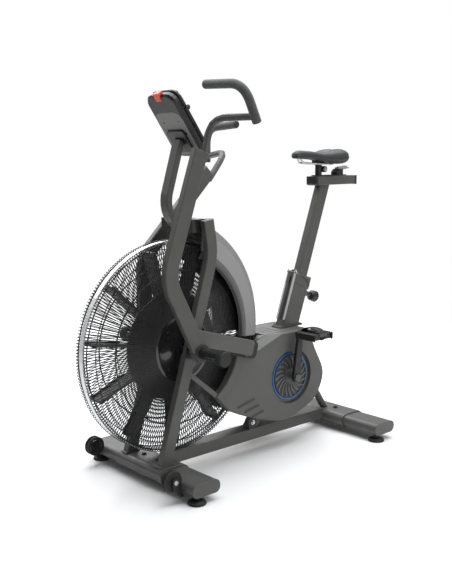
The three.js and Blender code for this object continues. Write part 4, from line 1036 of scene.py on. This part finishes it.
def studio():
    """A white background, soft light from above and both sides, and a pale floor."""
    scene = bpy.context.scene
    scene.view_settings.view_transform = "Standard"
    world = bpy.data.worlds.new("studio")
    scene.world = world
    world.use_nodes = True
    tree = world.node_tree
    soft = tree.nodes["Background"]
    soft.inputs["Color"].default_value = (1, 1, 1, 1)
    seen = tree.nodes.new("ShaderNodeBackground")
    seen.inputs["Color"].default_value = (1, 1, 1, 1)
    seen.inputs["Strength"].default_value = 1.0
    place = tree.nodes.new("ShaderNodeTexCoord")
    axes = tree.nodes.new("ShaderNodeSeparateXYZ")
    tree.links.new(place.outputs["Generated"], axes.inputs["Vector"])
    dim = tree.nodes.new("ShaderNodeMapRange")
    for key, value in (("From Min", -0.9), ("From Max", 0.0), ("To Min", 0.12), ("To Max", 0.5)):
        dim.inputs[key].default_value = value
    tree.links.new(axes.outputs["X"], dim.inputs["Value"])
    tree.links.new(dim.outputs["Result"], soft.inputs["Strength"])
    ray = tree.nodes.new("ShaderNodeLightPath")
    mix = tree.nodes.new("ShaderNodeMixShader")
    tree.links.new(ray.outputs["Is Camera Ray"], mix.inputs["Fac"])
    tree.links.new(soft.outputs["Background"], mix.inputs[1])
    tree.links.new(seen.outputs["Background"], mix.inputs[2])
    tree.links.new(mix.outputs["Shader"], tree.nodes["World Output"].inputs["Surface"])
    area_light("overhead", (0.3, 0.2, 3.4), (0, 0, 0.3), (3.4, 3.4), 190, (0.95, 0.98, 1.0))
    area_light("near_side", (0.4, -3.2, 2.9), (0, 0, 0.9), (2.4, 2.4), 46, (1.0, 0.99, 0.97))
    area_light("far_side", (1.6, 3.0, 2.4), (0, 0, 0.6), (2.4, 2.4), 45)
    area_light("back_strip", (-0.3, 3.9, 3.1), (0, -0.2, 0.45), (3.6, 1.4), 60)
    mesh = bpy.data.meshes.new("floor")
    corners = ((-1, -1), (1, -1), (1, 1), (-1, 1))
    mesh.from_pydata([(x * FLOOR_REACH, y * FLOOR_REACH, 0) for x, y in corners], [], [(0, 1, 2, 3)])
    mesh.materials.append(floor_finish())
    floor = bpy.data.objects.new("floor", mesh)
    scene.collection.objects.link(floor)


# ---------------------------------------------------------------- assembly

add_camera()
studio()
dress_nodes()
fan_blades()
base_details()
beam_details()
deck_details()
collar_bolt()
tube_front()
rail_caps()
carriage_details()
make_saddle()
saddle_underside()
console_back_details()
console_face_details()
console_side_button()
for side_name, side_sign in SIDES:
    cage_wires(side_name, side_sign)
    cage_hoops(side_name, side_sign)
    hub_plate(side_name, side_sign)
    tensioner(side_name, side_sign)
    shroud_lip(side_name, side_sign)
    side_bar_backing_and_shade(side_name, side_sign)
    peg_cap(side_name, side_sign)
    shoulder_filler(side_name, side_sign)
    cover_vents(side_name, side_sign)
    front_band_shade(side_name, side_sign)
    dish_trim(side_name, side_sign)
    turbine(side_name, side_sign)
    collar_seam(side_name, side_sign)
    make_pedal(side_name, side_sign)
    crank_bolts(side_name, side_sign)
    make_grip(side_name, side_sign)
    lever_details(side_name, side_sign)
